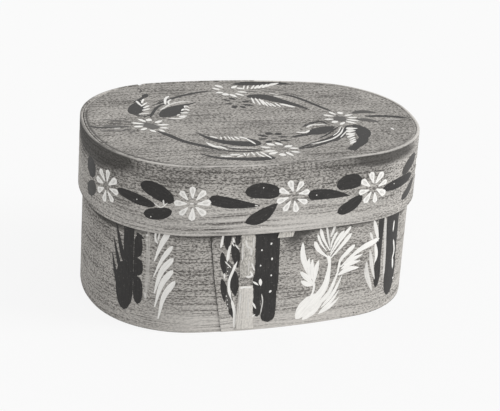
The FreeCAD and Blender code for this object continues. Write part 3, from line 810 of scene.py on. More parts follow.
def wall_tree():
    """Node tree that bends a flat piece round a wall: x is the way, y the lift and z the height."""
    nodes, given, result = group_nodes(
        "Bend Round Wall", "GeometryNodeTree",
        {"Geometry": GEOMETRY, "Wall line": OBJECT, "Material": MATERIAL}, {"Geometry": "NodeSocketGeometry"})
    line = nodes.add("GeometryNodeObjectInfo", {"Object": given.outputs["Wall line"]}).outputs["Geometry"]
    length = nodes.add("GeometryNodeCurveLength", {0: line}).outputs[0]
    way, lift, height = nodes.split(nodes.position())
    way = nodes.math("FLOORED_MODULO", way, length)
    sample = nodes.add("GeometryNodeSampleCurve", {"Curves": line, "Length": way}, mode="LENGTH")
    outward = nodes.vector("NORMALIZE", nodes.vector("CROSS_PRODUCT", sample.outputs["Tangent"], (0, 0, 1)))
    lifted = nodes.add("ShaderNodeVectorMath", {0: outward, "Scale": lift}, operation="SCALE").outputs[0]
    foot = nodes.vector("ADD", sample.outputs["Position"], lifted)
    target = nodes.vector("ADD", foot, nodes.joined(z=height))
    moved = nodes.add("GeometryNodeSetPosition", {"Geometry": given.outputs["Geometry"], "Position": target})
    nodes.finish_tree(moved.outputs[0], given, result)


# each ring of petals is turned by up to this angle
RING_SPIN = 0.3


def flower_tree():
    """Node tree that sets a ring of petals round each point of a flat mesh, with a seeded unevenness."""
    nodes, given, result = group_nodes("Petal Rings", "GeometryNodeTree", {
        "Geometry": GEOMETRY, "Petal": OBJECT, "Petals": whole_number(8), "Ring radius": number(9 * MM),
        "Unevenness": number(0.16), "Seed": whole_number(SEED), "Material": MATERIAL,
    }, {"Geometry": "NodeSocketGeometry"})
    circle = nodes.add("GeometryNodeMeshCircle", {
        "Vertices": given.outputs["Petals"], "Radius": given.outputs["Ring radius"]})
    upright = nodes.add("GeometryNodeTransform", {
        "Geometry": circle.outputs[0], "Rotation": (math.pi / 2, 0, 0)})
    rings = nodes.add("GeometryNodeInstanceOnPoints", {
        "Points": given.outputs["Geometry"], "Instance": upright.outputs[0]})
    spin = nodes.joined(y=nodes.chance(-RING_SPIN, RING_SPIN, given.outputs["Seed"]))
    turned = nodes.add("GeometryNodeRotateInstances", {0: rings.outputs[0], "Rotation": spin})
    centre = nodes.add("GeometryNodeStoreNamedAttribute", {
        "Geometry": turned.outputs[0], "Name": "centre", "Value": nodes.position(),
    }, data_type="FLOAT_VECTOR", domain="INSTANCE")
    places = nodes.add("GeometryNodeRealizeInstances", {0: centre.outputs[0]})
    across, _, up = nodes.split(nodes.vector("SUBTRACT", nodes.position(), nodes.named("centre")))
    uneven = given.outputs["Unevenness"]
    wobble = nodes.chance(nodes.math("MULTIPLY", uneven, -1.0), uneven, 3)
    angle = nodes.math("ADD", nodes.math("ARCTAN2", up, across), wobble)
    size = nodes.chance(nodes.math("SUBTRACT", 1.0, uneven), nodes.math("ADD", 1.0, uneven), 5)
    petal = nodes.add("GeometryNodeObjectInfo", {"Object": given.outputs["Petal"]}).outputs["Geometry"]
    petals = nodes.add("GeometryNodeInstanceOnPoints", {
        "Points": places.outputs[0], "Instance": petal, "Scale": size,
        "Rotation": nodes.joined(y=nodes.math("MULTIPLY", angle, -1.0))})
    nodes.finish_tree(petals.outputs[0], given, result)


def peg_tree():
    """Node tree that sets a tapered peg at each point, its axis along the point's inward direction."""
    nodes, given, result = group_nodes("Pegs", "GeometryNodeTree", {
        "Geometry": GEOMETRY, "Radius": number(1.45 * MM), "Length": number(14.8 * MM), "Taper": number(0.8),
        "Sides": whole_number(9), "Seed": whole_number(SEED), "Material": MATERIAL,
    }, {"Geometry": "NodeSocketGeometry"})
    length, radius = given.outputs["Length"], given.outputs["Radius"]
    cone = nodes.add("GeometryNodeMeshCone", {
        "Vertices": given.outputs["Sides"], "Side Segments": 3, "Radius Bottom": radius,
        "Radius Top": nodes.math("MULTIPLY", radius, given.outputs["Taper"]), "Depth": length})
    inward = nodes.named("inward")
    aim = nodes.add("FunctionNodeAlignRotationToVector", {"Vector": inward}, axis="Z").outputs[0]
    pegs = nodes.add("GeometryNodeInstanceOnPoints", {
        "Points": given.outputs["Geometry"], "Instance": cone.outputs[0], "Rotation": aim})
    spin = nodes.joined(z=nodes.chance(0.0, 3.0, given.outputs["Seed"]))
    turned = nodes.add("GeometryNodeRotateInstances", {0: pegs.outputs[0], "Rotation": spin})
    nodes.finish_tree(turned.outputs[0], given, result)


def shaped(source, name, tree, **values):
    """Run a node tree on an object and keep its result as a plain mesh of a new object."""
    modifier = source.modifiers.new("Shaping", "NODES")
    modifier.node_group = tree
    for label, value in values.items():
        socket = tree.interface.items_tree[label.replace("_", " ")]
        modifier[socket.identifier] = value
    evaluated = source.evaluated_get(bpy.context.evaluated_depsgraph_get())
    mesh = bpy.data.meshes.new_from_object(evaluated)
    source.modifiers.remove(modifier)
    mesh.name = name
    piece = bpy.data.objects.new(name, mesh)
    bpy.context.collection.objects.link(piece)
    bpy.data.objects.remove(source)
    return piece


# Strokes: width, profile, cover, then points, in millimetres. On a wall a point is (way, height).
UPPER, LOWER = (12.4, "oval", 1.0), (9.6, "oval", 1.0)
WALL_LEAVES = [
    (15.5, "oval", 1.0, (-150, 120), (-143, 116.5), (-134.5, 112)),
    (12, "oval", 0.95, (-149, 95), (-141, 99), (-133, 104.5)),
    (8.2, "oval", 1.0, (-106, 111), (-90, 108.6), (-72.5, 105.6)),
    (*UPPER, (-85, 121), (-73, 118), (-58.5, 110.5)), (*LOWER, (-81.5, 97.5), (-70, 99.5), (-59.5, 103)),
    (8.8, "blunt", 1.0, (-32.5, 113.5), (-14, 109.5), (7.5, 106.5)),
    (12.6, "oval", 1.0, (-5, 118.5), (8, 118.8), (23, 116)),
    (11, "leaf", 1.0, (-3.5, 93.5), (9, 98), (21, 107.5)),
    (8.6, "blunt", 1.0, (45.5, 112.4), (62, 111.5), (81, 108.2)),
    (12.6, "oval", 1.0, (69, 117), (80, 119.5), (91.5, 118)),
    (10, "oval", 1.0, (71.5, 95), (82, 99), (92.5, 106)),
    (8.8, "oval", 1.0, (111.5, 108.6), (131, 109.8), (151, 110.4)),
    (11, "oval", 0.95, (133.5, 116), (145, 121.5), (157.5, 124.5)),
    (8.6, "oval", 0.95, (136, 94), (147, 98), (158, 105)),
]
WALL_FLECKS = [
    (0.8, "line", 0.9, (-74, 108), (-68, 105), (-63, 109.5)),
    (1.2, "line", 0.9, (-66.5, 111.5), (-65.8, 107)), (1.0, "bar", 0.9, (-46.5, 110), (-43.5, 110)),
    (0.8, "bar", 0.8, (-88, 107.6), (-87, 107.8)), (0.8, "bar", 0.8, (-12, 104.4), (-11, 104.6)),
    (0.7, "bar", 0.8, (3, 107.4), (6, 106.6)), (0.8, "bar", 0.8, (-76, 96.2), (-75, 96.2)),
    (0.8, "bar", 0.8, (8.6, 121), (9.6, 121.4)), (0.8, "bar", 0.8, (52, 111.6), (53, 111.6)),
    (0.9, "bar", 0.8, (123, 110.4), (124, 110.6)), (0.9, "bar", 0.8, (9, 88.9), (10, 88.9)),
]
FLOWERS = [(-118.3, 109.4), (-44.6, 110.2), (33.5, 112.5), (102.1, 111.6)]
BOX_DARK = [
    (9.6, "bar", 1.0, (-92.8, 95), (-92.4, 53), (-91.8, 16)),
    (15.6, "oval", 1.0, (-97, 52), (-96.2, 32), (-95, 11.5)),
    (10, "bar", 1.0, (-97, 42), (-96.3, 30), (-95, 15)),
    (4.6, "drop", 1.0, (-106.6, 86), (-101.5, 68), (-96.4, 51)),
    (4.4, "drop", 1.0, (-107.8, 69), (-103.6, 56), (-99, 42)),
    (4.8, "drop", 1.0, (-108.6, 55), (-105.2, 42), (-100, 28)),
    (3.4, "leaf", 1.0, (-86, 79), (-83.4, 76.6), (-79.2, 75.2)),
    (7.2, "oval", 1.0, (-84.2, 77.4), (-83.6, 59)), (7.8, "oval", 1.0, (-83.4, 58), (-83, 43.6)),
    (8.4, "oval", 1.0, (-83.2, 42.6), (-82.9, 19.5)), (3.6, "bar", 1.0, (-85.8, 76), (-85.6, 34)),
    (5, "leaf", 1.0, (-19, 68.5), (-17.6, 60), (-15.8, 48.5)),
    (5, "leaf", 1.0, (-18, 46), (-16, 38), (-14.6, 26)),
    (5.6, "leaf", 0.85, (-14.2, 61), (-12, 53), (-12, 43)),
    (5.6, "leaf", 0.85, (-12.2, 35), (-11, 27), (-10, 18)), (3, "leaf", 1.0, (-9.4, 21), (-7, 11.5)),
    (7, "leaf", 1.0, (-16.5, 92), (-15.6, 80), (-15, 69.5)),
    (6.6, "leaf", 1.0, (-10.6, 76), (-8, 65), (-6, 54.5)),
    (7.4, "leaf", 1.0, (-8.6, 52.5), (-8, 42), (-6.4, 30.5)), (4, "bar", 1.0, (-7.5, 92), (-7, 73.5)),
    (3.4, "leaf", 1.0, (-10.5, 20), (-8, 14)), (19.4, "bar", 1.0, (15.8, 104), (17, 70), (18.6, 24)),
    (12.6, "bar", 1.0, (19.6, 50), (20.6, 25), (21, 6)),
    (6.4, "bar", 1.0, (9.8, 49), (10.6, 26), (12.2, 11.5)),
    (6, "bar", 1.0, (115.8, 96), (115.8, 58), (116, 30)), (7.4, "oval", 1.0, (115.8, 50), (116.4, 21.5)),
    (17, "bar", 1.0, (130, 96), (131.6, 60), (133.2, 26)),
    (16.4, "oval", 1.0, (132.6, 54), (133.6, 34), (133, 9.5)), (1.2, "bar", 0.9, (-24.6, 17), (-23.6, 17)),
    (1.2, "bar", 0.9, (95.6, 3.4), (96.6, 3.4)), (0.9, "bar", 0.9, (98.4, 3.2), (99.2, 3.2)),
    (0.9, "bar", 0.8, (-75.8, 54), (-75, 54)),
]
BOX_LIGHT = [
    (1.7, "line", 0.9, (-70.2, 84), (-70.2, 77), (-68, 73)),
    (1.3, "line", 0.85, (-66.8, 84), (-68.4, 75.5)),
    (5, "brush", 1.0, (-59.4, 85), (-65, 74), (-70.4, 58.5)),
    (4, "brush", 1.0, (-56.8, 73), (-64.4, 60.5), (-70.4, 45.5)),
    (5.3, "brush", 1.0, (-55.8, 63), (-64.6, 50), (-69.4, 31.5)),
    (5, "brush", 1.0, (-55.6, 53), (-63.8, 40), (-68.6, 20)),
    (5.1, "brush", 1.0, (-53.6, 44), (-61.6, 30), (-65.4, 10.5)),
    (3, "line", 0.22, (-76.2, 84), (-75.4, 50), (-76, 24)), (1.6, "bar", 0.7, (-78, 78.4), (-76, 79)),
    (1.3, "bar", 0.6, (-78, 74), (-76.4, 75)), (2.2, "bar", 0.5, (-77.2, 31), (-76, 25.6)),
    (1.8, "line", 0.95, (-18.6, 84), (-20.2, 71.5)),
    (2.2, "line", 0.9, (-12.6, 74), (-13.8, 68), (-14.4, 60)),
    (2, "line", 0.95, (-6.6, 60), (-9.6, 52), (-12, 44), (-11.8, 36), (-9.2, 27)),
    (1.3, "line", 0.9, (-16.2, 50.5), (-15.8, 46)), (2.3, "line", 0.95, (-9.4, 28), (-6.4, 17), (-5.8, 3)),
    (0.9, "line", 0.9, (-12, 76.5), (-9.6, 72.6)), (1, "line", 0.9, (-9.4, 74.4), (-5.6, 69.6)),
    (1.6, "line", 0.9, (-11, 80), (-10, 75.6)), (0.9, "line", 0.85, (-16.4, 60.6), (-11, 54.6)),
    (0.9, "bar", 0.9, (-14, 55.3), (-13.2, 55.3)), (0.9, "bar", 0.9, (-14.2, 52), (-13.4, 52)),
    (0.9, "bar", 0.9, (-13.9, 48.6), (-13, 48.6)), (0.9, "bar", 0.9, (-14, 31), (-13, 31)),
    (0.9, "bar", 0.9, (-13, 27.6), (-12.2, 27.6)), (0.9, "bar", 0.9, (-12.6, 24), (-11.8, 24)),
    (0.9, "bar", 0.9, (-12.2, 20.8), (-11.4, 20.8)), (1.9, "bar", 1.0, (19, 73), (20.4, 72.6)),
    (1.4, "bar", 1.0, (11.8, 68), (13, 68)), (2.1, "bar", 1.0, (20.4, 60), (21.8, 60)),
    (1.4, "bar", 1.0, (11.6, 55), (12.8, 55)), (1.6, "bar", 1.0, (20.8, 46), (22, 46)),
    (2.8, "leaf", 1.0, (12.6, 44), (13.4, 37.6)), (2.1, "bar", 1.0, (21, 33), (22.2, 31.6)),
    (1, "line", 0.55, (14.6, 31), (15.8, 24), (14.8, 13)),
    (12.8, "leaf", 1.0, (44.5, 6), (54, 17), (67, 26)), (7, "leaf", 1.0, (50, 4.5), (58, 11), (68, 21)),
    (7.4, "brush", 1.0, (56.5, 17), (66.4, 29), (69.4, 40), (70.2, 56)),
    (4.4, "brush", 0.95, (62, 15), (71, 24), (75.8, 35), (79.6, 48)),
    (4.4, "brush", 1.0, (91.5, 63.5), (84.6, 57.4), (79.6, 52), (77.6, 43)),
    (5.4, "brush", 1.0, (115, 64.4), (100, 60), (89.6, 54), (80, 46)),
    (3.8, "leaf", 1.0, (81.4, 47.5), (90, 51), (99.4, 54)),
    (3.5, "leaf", 1.0, (80.4, 44.2), (88, 47.4), (98, 48.8)),
    (4.6, "leaf", 1.0, (78.4, 39.4), (87, 43), (97, 43)),
    (1.8, "line", 1.0, (55.6, 22), (58, 30), (57, 39.6)),
    (4.6, "leaf", 1.0, (45.6, 71.5), (47, 58), (54.6, 39.4)),
    (3.6, "leaf", 1.0, (52, 57.4), (52, 49), (55.4, 38.6)),
    (3.6, "leaf", 1.0, (55, 56), (55, 47), (57, 37)),
    (4.2, "leaf", 1.0, (60.2, 54.4), (58.4, 46), (57.8, 35)),
    (4.2, "leaf", 1.0, (45.2, 46.6), (51, 41), (57.6, 34.2)),
    (3.8, "leaf", 1.0, (46.4, 38.6), (52, 35), (57.6, 33.4)),
    (4, "brush", 1.0, (55.4, 71), (60, 63), (69.4, 55)),
    (2.3, "brush", 1.0, (57.6, 77), (61, 69), (66.8, 61.4)),
    (3.2, "brush", 1.0, (59.6, 81.5), (63, 72), (69.4, 61.6)),
    (1.7, "line", 0.8, (64.6, 84), (67, 73), (69.4, 64)), (2.1, "line", 0.8, (72.4, 83), (69, 72.6)),
    (3.3, "brush", 1.0, (80.6, 77), (75, 70), (69.8, 59)),
    (3.2, "brush", 1.0, (86.6, 80), (78, 69.4), (69.8, 57)),
    (3.9, "brush", 1.0, (87.6, 74), (79, 64), (69.8, 54)),
    (2.6, "brush", 1.0, (74.6, 77), (71, 70), (69.8, 62)), (3, "bar", 1.0, (68.4, 57.6), (70.2, 50)),
    (3, "leaf", 1.0, (65.4, 12.6), (75, 23.4), (82.4, 39)),
    (2.8, "leaf", 1.0, (64.4, 9), (74, 17), (80.6, 26)),
    (2.9, "leaf", 1.0, (63.4, 7.6), (73, 12.4), (81.4, 19.6)),
    (4.3, "leaf", 0.62, (104, 47), (105, 36), (112.4, 19)),
    (3.6, "leaf", 0.6, (106, 57), (109.6, 42), (114, 29)),
    (3.4, "leaf", 0.9, (111, 61), (113.4, 50), (112, 43)),
    (3.6, "leaf", 0.8, (107.4, 82), (111, 72), (114.2, 62)), (2.4, "leaf", 0.7, (104.6, 72), (108.4, 64)),
    (3, "bar", 0.4, (119.6, 82), (123, 52), (124.6, 29)), (1.5, "line", 0.9, (132.4, 75), (132.2, 65)),
    (1.9, "line", 0.9, (134, 58), (136.4, 51), (137, 46), (135, 39)),
    (2.4, "leaf", 0.9, (136, 41), (137.6, 31)), (1.6, "bar", 1.0, (139.4, 22), (141, 21.4)),
]
RIBBON_FLECKS = [
    (1.1, "line", 0.9, (4.4, 58.6), (7.4, 51.4)), (1.4, "line", 0.9, (4, 51.4), (6.6, 46.6)),
    (1.6, "leaf", 0.95, (6.4, 42.4), (11.6, 38.8)), (1.6, "leaf", 0.95, (7.4, 24.6), (10.6, 18.6)),
    (1.3, "leaf", 0.9, (7.4, 12), (10.4, 14.2)),
    (1.6, "line", 0.62, (-1.4, 78), (0.6, 72), (3.6, 70), (3.8, 64)),
    (1.0, "line", 0.6, (-3.2, 76), (-2.8, 60)), (1.2, "line", 0.55, (4.8, 80), (5.4, 70)),
    (1.1, "line", 0.5, (2.4, 61), (2.6, 50)), (1.8, "line", 0.9, (0.6, 47.2), (3.6, 46.6), (6.4, 48)),
    (1.6, "line", 0.95, (-3.8, 37.6), (0.5, 38), (6.2, 37.2)), (1.2, "line", 0.6, (-2.6, 34), (-2.8, 18)),
    (1.0, "line", 0.6, (3.8, 30), (4.6, 10)),
]
TOP_DARK = [
    (11.5, "drop", 1.0, (-78, 52), (-86, 40), (-89, 22)),
    (12, "leaf", 1.0, (-80, 50), (-84, 37), (-88, 21)), (3, "line", 1.0, (-84, 50), (-77, 57), (-71, 64)),
    (5.4, "leaf", 1.0, (-74, 59), (-69.4, 69)), (2.4, "line", 0.95, (-89.5, 21), (-81, 18), (-75.4, 22)),
    (2.6, "line", 1.0, (-78.4, 15), (-71, 31), (-65, 40), (-55, 46)),
    (1.4, "line", 0.85, (-72.6, 39), (-66, 45), (-60, 53), (-53, 58)),
    (3.2, "line", 1.0, (-67, 43), (-57, 51), (-44, 60), (-25, 68), (-13, 70)),
    (16, "leaf", 1.0, (-70, 15), (-59, 25), (-45, 41)), (12, "leaf", 1.0, (-68, 18), (-58, 27), (-49, 34)),
    (3.8, "brush", 1.0, (-48, 39), (-41, 41), (-33.4, 45.4)), (1.6, "line", 0.8, (-65.4, 9), (-57.6, 7)),
    (3, "line", 0.95, (-130, 1), (-121, -3), (-106, -3), (-97.6, -4)),
    (1.7, "line", 0.8, (-112.6, 10), (-101.6, 9)), (1.7, "line", 0.8, (-113.4, 4), (-102.4, 4)),
    (2.1, "line", 0.8, (-125, -10), (-115, -10), (-107, -12), (-102, -9), (-97.6, -11)),
    (1.5, "line", 0.8, (-101.6, -17), (-95.6, -12)), (1.8, "line", 0.75, (-103.6, 15), (-97.6, 13)),
    (1.8, "line", 0.8, (-117, 14.5), (-105, 11), (-94, 6)),
    (4.6, "brush", 0.75, (-119, 0), (-108, -1), (-99, -2.6)),
    (10.6, "leaf", 1.0, (7, 84), (24, 85), (44, 83.4), (55, 79.6)), (2.6, "brush", 1.0, (48, 85), (59, 78)),
    (1.9, "line", 0.7, (18, 70), (29, 71), (39, 68), (49, 62)), (2.1, "line", 0.75, (13, 66), (23, 65)),
    (1.7, "line", 0.7, (27, 66), (38, 62)),
    (13, "brush", 1.0, (11, 54), (24, 52), (32, 45), (42, 35), (53, 21)),
    (2, "line", 0.7, (31, 56), (39, 51)),
    (3.4, "line", 1.0, (40.6, 56), (48, 52), (56, 41), (64, 26), (71.4, 12.6)),
    (2.2, "line", 0.8, (44, 58), (50, 56), (57.4, 48.6)),
    (4.2, "line", 1.0, (94.6, -0.6), (106, -1), (117, -3), (128.6, -7)),
    (7, "leaf", 0.9, (86, 7), (96, 10), (108, 6.4)), (7, "leaf", 0.85, (86, -6), (94, -8.6), (103, -14.6)),
    (2.9, "line", 1.0, (37.6, -18), (46, -11), (55, -8), (59.4, -15.6)),
    (12.6, "leaf", 1.0, (36.6, -34), (49, -27.4), (63, -20)),
    (4, "leaf", 1.0, (21, -39.4), (30, -36), (44, -33)),
    (1.8, "line", 1.0, (42.6, -43.6), (52, -36), (61, -26), (67.4, -19.4)),
    (2.9, "line", 1.0, (19.6, -62.4), (34, -54), (49, -45), (60, -35), (68.4, -22.4)),
    (3.1, "line", 1.0, (20.6, -63.4), (34, -59), (50, -50), (62, -39), (72.4, -21.4)),
    (1.7, "line", 0.95, (51.6, -51.4), (60, -45), (67.4, -36.4)),
    (2.8, "line", 1.0, (70.6, -22.4), (76, -20), (84, -20)),
    (12.5, "leaf", 1.0, (80, -17), (82, -34), (76, -52)), (9, "leaf", 1.0, (82, -40), (74, -54), (61, -69)),
    (7.4, "bar", 1.0, (67, -62), (60, -70)),
    (4.5, "line", 1.0, (-79.4, -14.6), (-72, -25), (-63, -39), (-50, -50), (-38, -60.4)),
    (2.6, "line", 0.95, (-40, -59.4), (-26, -64), (-17, -64), (-8.4, -63)),
    (2.2, "line", 0.9, (-38, -49.6), (-28, -58), (-19, -60), (-8.4, -62)),
    (1.6, "line", 0.7, (-54, -53), (-46, -59), (-36.4, -63.4)),
    (1.7, "line", 0.7, (-55.4, -57.6), (-45, -63), (-34.4, -67.4)),
    (11.4, "drop", 1.0, (-48, -25), (-42, -35), (-33, -43), (-20, -48), (-5.6, -50)),
    (3.2, "line", 1.0, (-13.6, -37.4), (-8, -43.6), (-6, -51)),
    (1.8, "line", 0.9, (-50.6, -20.4), (-45, -28)),
    (7.4, "drop", 1.0, (-57.4, -64.6), (-46, -74), (-30, -78), (-13, -79.6), (-2, -78.6)),
    (2.6, "line", 1.0, (-9.4, -69.6), (-6, -75), (-3.6, -80)), (3, "leaf", 1.0, (-10, 48.6), (-5, 45)),
    (3, "leaf", 1.0, (-12.6, 38), (-4, 40)), (3.8, "leaf", 1.0, (-4.4, 52.6), (0, 48)),
    (4.4, "leaf", 1.0, (-7.6, 29), (-2.6, 34.6)), (3.2, "leaf", 1.0, (-0.4, 33.6), (3.4, 27.4)),
    (3.6, "leaf", 1.0, (2.4, 36.4), (11, 32.6)), (3.2, "leaf", 1.0, (3.4, 41.6), (12, 44.6)),
    (1.5, "line", 0.9, (0.6, 42), (2.4, 39.6)), (5.4, "leaf", 1.0, (3.4, -28), (9.4, -30.4)),
    (5.4, "leaf", 1.0, (10.6, -31), (16.6, -31)), (3.6, "leaf", 1.0, (-3.6, -30.6), (4, -36)),
    (3.6, "leaf", 1.0, (-5.6, -40), (2.4, -40)), (4.2, "leaf", 1.0, (-1.6, -47.6), (4.4, -44.6)),
    (3, "leaf", 1.0, (6.6, -43.6), (10.6, -49.6)), (3.2, "leaf", 1.0, (11.4, -37), (20, -38)),
    (3.2, "leaf", 1.0, (10.4, -43.6), (19, -46.4)), (2.1, "leaf", 0.95, (5.4, -39), (10.6, -40)),
    (9.4, "bar", 0.8, (-88.4, 3.4), (-77.4, -9.4)), (10.6, "bar", 0.78, (67.4, -2.6), (78, -4.6)),
    (1.3, "line", 0.55, (-49, 2), (-10, -2), (30, -11), (61, -14)),
    (1.5, "line", 0.65, (-35, 41), (-20, 39.4), (-6, 37)),
    (1.2, "line", 0.9, (-74.6, 84), (-72.4, 77), (-75.3, 69.8)),
]
TOP_LIGHT = [
    (3.3, "leaf", 1.0, (-88.4, 13), (-84, 5)), (6, "leaf", 1.0, (-82.6, 11), (-78.6, 8)),
    (3.2, "leaf", 1.0, (-95.6, 5), (-86, 1)), (3.2, "leaf", 1.0, (-95.6, -4), (-87.4, -3)),
    (3.2, "leaf", 1.0, (-91.6, -11.4), (-85.6, -7.6)), (3.2, "leaf", 1.0, (-84.4, -11.4), (-80.6, -17)),
    (2.7, "leaf", 1.0, (-77.4, -11.4), (-73.6, -17)), (3.1, "leaf", 1.0, (-75.6, -8), (-69, -9.4)),
    (3, "leaf", 1.0, (-76.4, -2), (-67, -2)), (3.3, "leaf", 1.0, (-77.4, 2.6), (-70.4, 7.6)),
    (2.9, "leaf", 1.0, (68.4, 13), (72, 5)), (5.4, "leaf", 1.0, (74.4, 9), (79.6, 9)),
    (2.7, "leaf", 1.0, (78.4, 2.6), (86, 4.4)), (3.3, "leaf", 1.0, (61.4, 6.4), (69.4, 2)),
    (2.8, "leaf", 1.0, (79.4, -2), (88, -2)), (3.2, "leaf", 1.0, (59.4, -4), (67.4, -4)),
    (3, "leaf", 1.0, (77.4, -5.6), (87, -10.4)), (3.1, "leaf", 1.0, (75.6, -9.6), (82.6, -15.6)),
    (4.3, "leaf", 1.0, (63.4, -11.4), (69.4, -8.6)), (2.9, "leaf", 1.0, (68.6, -16.6), (74.4, -11.4)),
    (4.4, "leaf", 1.0, (-1.6, -49.4), (4.4, -54.4)), (4.2, "leaf", 1.0, (5.6, -48.6), (10.4, -54.6)),
    (4.1, "leaf", 1.0, (10.4, -58.4), (17.6, -55.6)), (3, "leaf", 1.0, (13.4, -61), (21, -62)),
    (3.1, "leaf", 1.0, (12.4, -68), (20, -70)), (3.2, "leaf", 1.0, (8.6, -68.4), (12.4, -77)),
    (5.2, "leaf", 1.0, (2, -71.6), (7, -75)), (3.9, "leaf", 1.0, (-5.6, -71.4), (2.4, -67.6)),
    (3, "leaf", 1.0, (-7.6, -65), (1.4, -65)), (3, "leaf", 1.0, (-8, -55.6), (-0.4, -59.4)),
    (3.9, "leaf", 1.0, (-8.6, 83.6), (-3, 76.6)), (3.2, "leaf", 1.0, (-12.6, 76.6), (-6.4, 71.6)),
    (3.2, "leaf", 1.0, (-12.6, 65), (-5.4, 66)), (5.4, "leaf", 1.0, (-7.6, 62.6), (-2.6, 58.6)),
    (3.8, "leaf", 1.0, (-1.4, 61.4), (2.4, 53)), (3.2, "leaf", 1.0, (3.4, 62.4), (9.6, 55.4)),
    (3.1, "leaf", 1.0, (6.4, 66.2), (14, 63.8)), (3.6, "leaf", 1.0, (3.4, 74.4), (9.6, 80.6)),
    (3.4, "leaf", 1.0, (7.4, 75.2), (14, 71.8)), (2, "line", 1.0, (-81.6, 53), (-80, 41)),
    (1.6, "line", 1.0, (-74.6, 57), (-78.4, 47)), (1.6, "line", 1.0, (-73.4, 48.6), (-80.6, 39.6)),
    (2, "line", 0.95, (-73.4, 41.4), (-79.6, 35.6)), (2.2, "line", 0.9, (-74.4, 34.4), (-81.6, 30.6)),
    (2, "line", 0.75, (-86, 23), (-77, 24)), (2.1, "line", 1.0, (-52.4, 61.6), (-57, 55), (-60, 42)),
    (1.6, "line", 0.95, (-52.4, 53.6), (-56, 49), (-57, 41)),
    (1.4, "line", 1.0, (-42.6, 33), (-44.4, 38), (-46.4, 33)),
    (2.2, "line", 1.0, (-43.6, 26.6), (-47, 30.4), (-50.4, 26.6)),
    (2.5, "line", 1.0, (-45.4, 22), (-52.6, 22)), (2.7, "line", 1.0, (-48.4, 15.4), (-55.6, 13.6)),
    (1.3, "line", 0.9, (-53.4, 19.4), (-56.4, 16.6)),
    (1.8, "line", 0.9, (-50.4, 12.4), (-57, 10), (-64.6, 11)),
    (1.4, "line", 0.75, (-67.4, 29.4), (-56, 42), (-47, 47), (-36.4, 48)),
    (1.3, "line", 0.9, (12.6, 71), (16, 80)), (1.4, "line", 0.9, (16, 71), (19.4, 80)),
    (1.6, "line", 0.95, (19.4, 71), (24.4, 80)), (2.1, "line", 1.0, (22.4, 71.4), (28.4, 80)),
    (2.3, "line", 1.0, (25.4, 72), (32.6, 81)), (2.2, "line", 1.0, (29.4, 73), (36.6, 82)),
    (2.5, "line", 1.0, (33.4, 75.4), (41.6, 83)), (3.8, "leaf", 1.0, (35.6, 78.4), (47, 83.6)),
    (1.5, "line", 1.0, (14, 51), (13, 37)), (1.5, "line", 1.0, (17, 50), (17, 33)),
    (1.6, "line", 1.0, (20, 48), (20, 33)), (1.6, "line", 1.0, (21, 45), (22.4, 29)),
    (1.6, "line", 1.0, (23.4, 41), (25.4, 29)), (1.6, "line", 0.95, (26, 37), (28.4, 27.6)),
    (1.6, "line", 0.95, (30, 37), (32.4, 27.4)), (3.2, "line", 0.95, (33.4, 34.6), (44, 25.4)),
    (1.7, "line", 0.55, (31.6, 60.4), (38.6, 55.6)), (2.1, "line", 0.55, (33.4, 53.4), (40.6, 48.6)),
    (1.7, "line", 0.5, (109, -8), (122.6, -10)), (2.1, "line", 0.8, (39.6, -19.6), (46, -15), (57.6, -15)),
    (2.4, "line", 0.95, (28.4, -29), (36, -30), (40.6, -25.4)),
    (1.4, "line", 0.95, (32, -55), (43, -51), (54, -45), (63, -35), (69.4, -23.4)),
    (1, "line", 0.9, (55, -40), (62, -32), (68.4, -20.4)), (1, "line", 0.9, (60, -44), (69.4, -30.6)),
    (5.4, "brush", 1.0, (70.4, -26), (80, -26)), (5, "brush", 1.0, (68.4, -32.2), (77, -30)),
    (4.6, "brush", 1.0, (66.6, -38.2), (75, -35.6)), (2.6, "line", 1.0, (65.6, -44.2), (73.4, -38.8)),
    (1.6, "line", 0.95, (65.6, -49.2), (72.4, -43.8)), (1.7, "line", 0.95, (64.6, -53.4), (71.4, -47.8)),
    (2.2, "line", 0.95, (63.6, -57.4), (70.4, -51.8)), (2, "line", 0.9, (-41.6, -29.6), (-36, -35)),
    (1.1, "line", 0.9, (-33, -31.4), (-34, -37.6)), (1.1, "line", 0.9, (-30.4, -31.4), (-30, -37.6)),
    (1.2, "line", 0.95, (-27.4, -31.4), (-27, -38.6)), (1.3, "line", 1.0, (-25.4, -32.4), (-24, -40.6)),
    (1.7, "line", 1.0, (-22.4, -32.4), (-20, -39.6)), (2.3, "line", 1.0, (-19.4, -33.6), (-13.6, -38.4)),
    (1.7, "line", 1.0, (-14.4, -37.6), (-10, -50.6)),
    (3.3, "leaf", 0.95, (-47.4, -42.4), (-43, -51), (-38, -53.4), (-34.4, -59.6)),
    (1.4, "line", 0.6, (-33.4, -53.6), (-23, -56), (-10.6, -59)),
    (2.2, "line", 0.95, (-43.6, -71), (-34.4, -72)), (2.3, "line", 0.95, (-35.6, -69), (-27.4, -70)),
    (1.5, "line", 0.95, (-31.4, -74.4), (-25.6, -70.6)), (1.2, "line", 0.95, (-24, -66.4), (-24, -72.6)),
    (1.1, "line", 0.95, (-23, -72.6), (-20, -67.4)), (1.4, "line", 0.95, (-18, -65.4), (-17, -72.6)),
    (1.3, "line", 0.95, (-14, -65.4), (-13, -73.6)),
    (1.7, "line", 1.0, (-11, -65.6), (-8, -73), (-5.6, -80)),
    (1.6, "line", 0.9, (-13.4, -70.4), (-10.6, -76.6)), (1.9, "leaf", 1.0, (107.4, -27.4), (108.6, -32.6)),
    (1.6, "line", 0.6, (-112, -6), (-106, -5.6)),
]
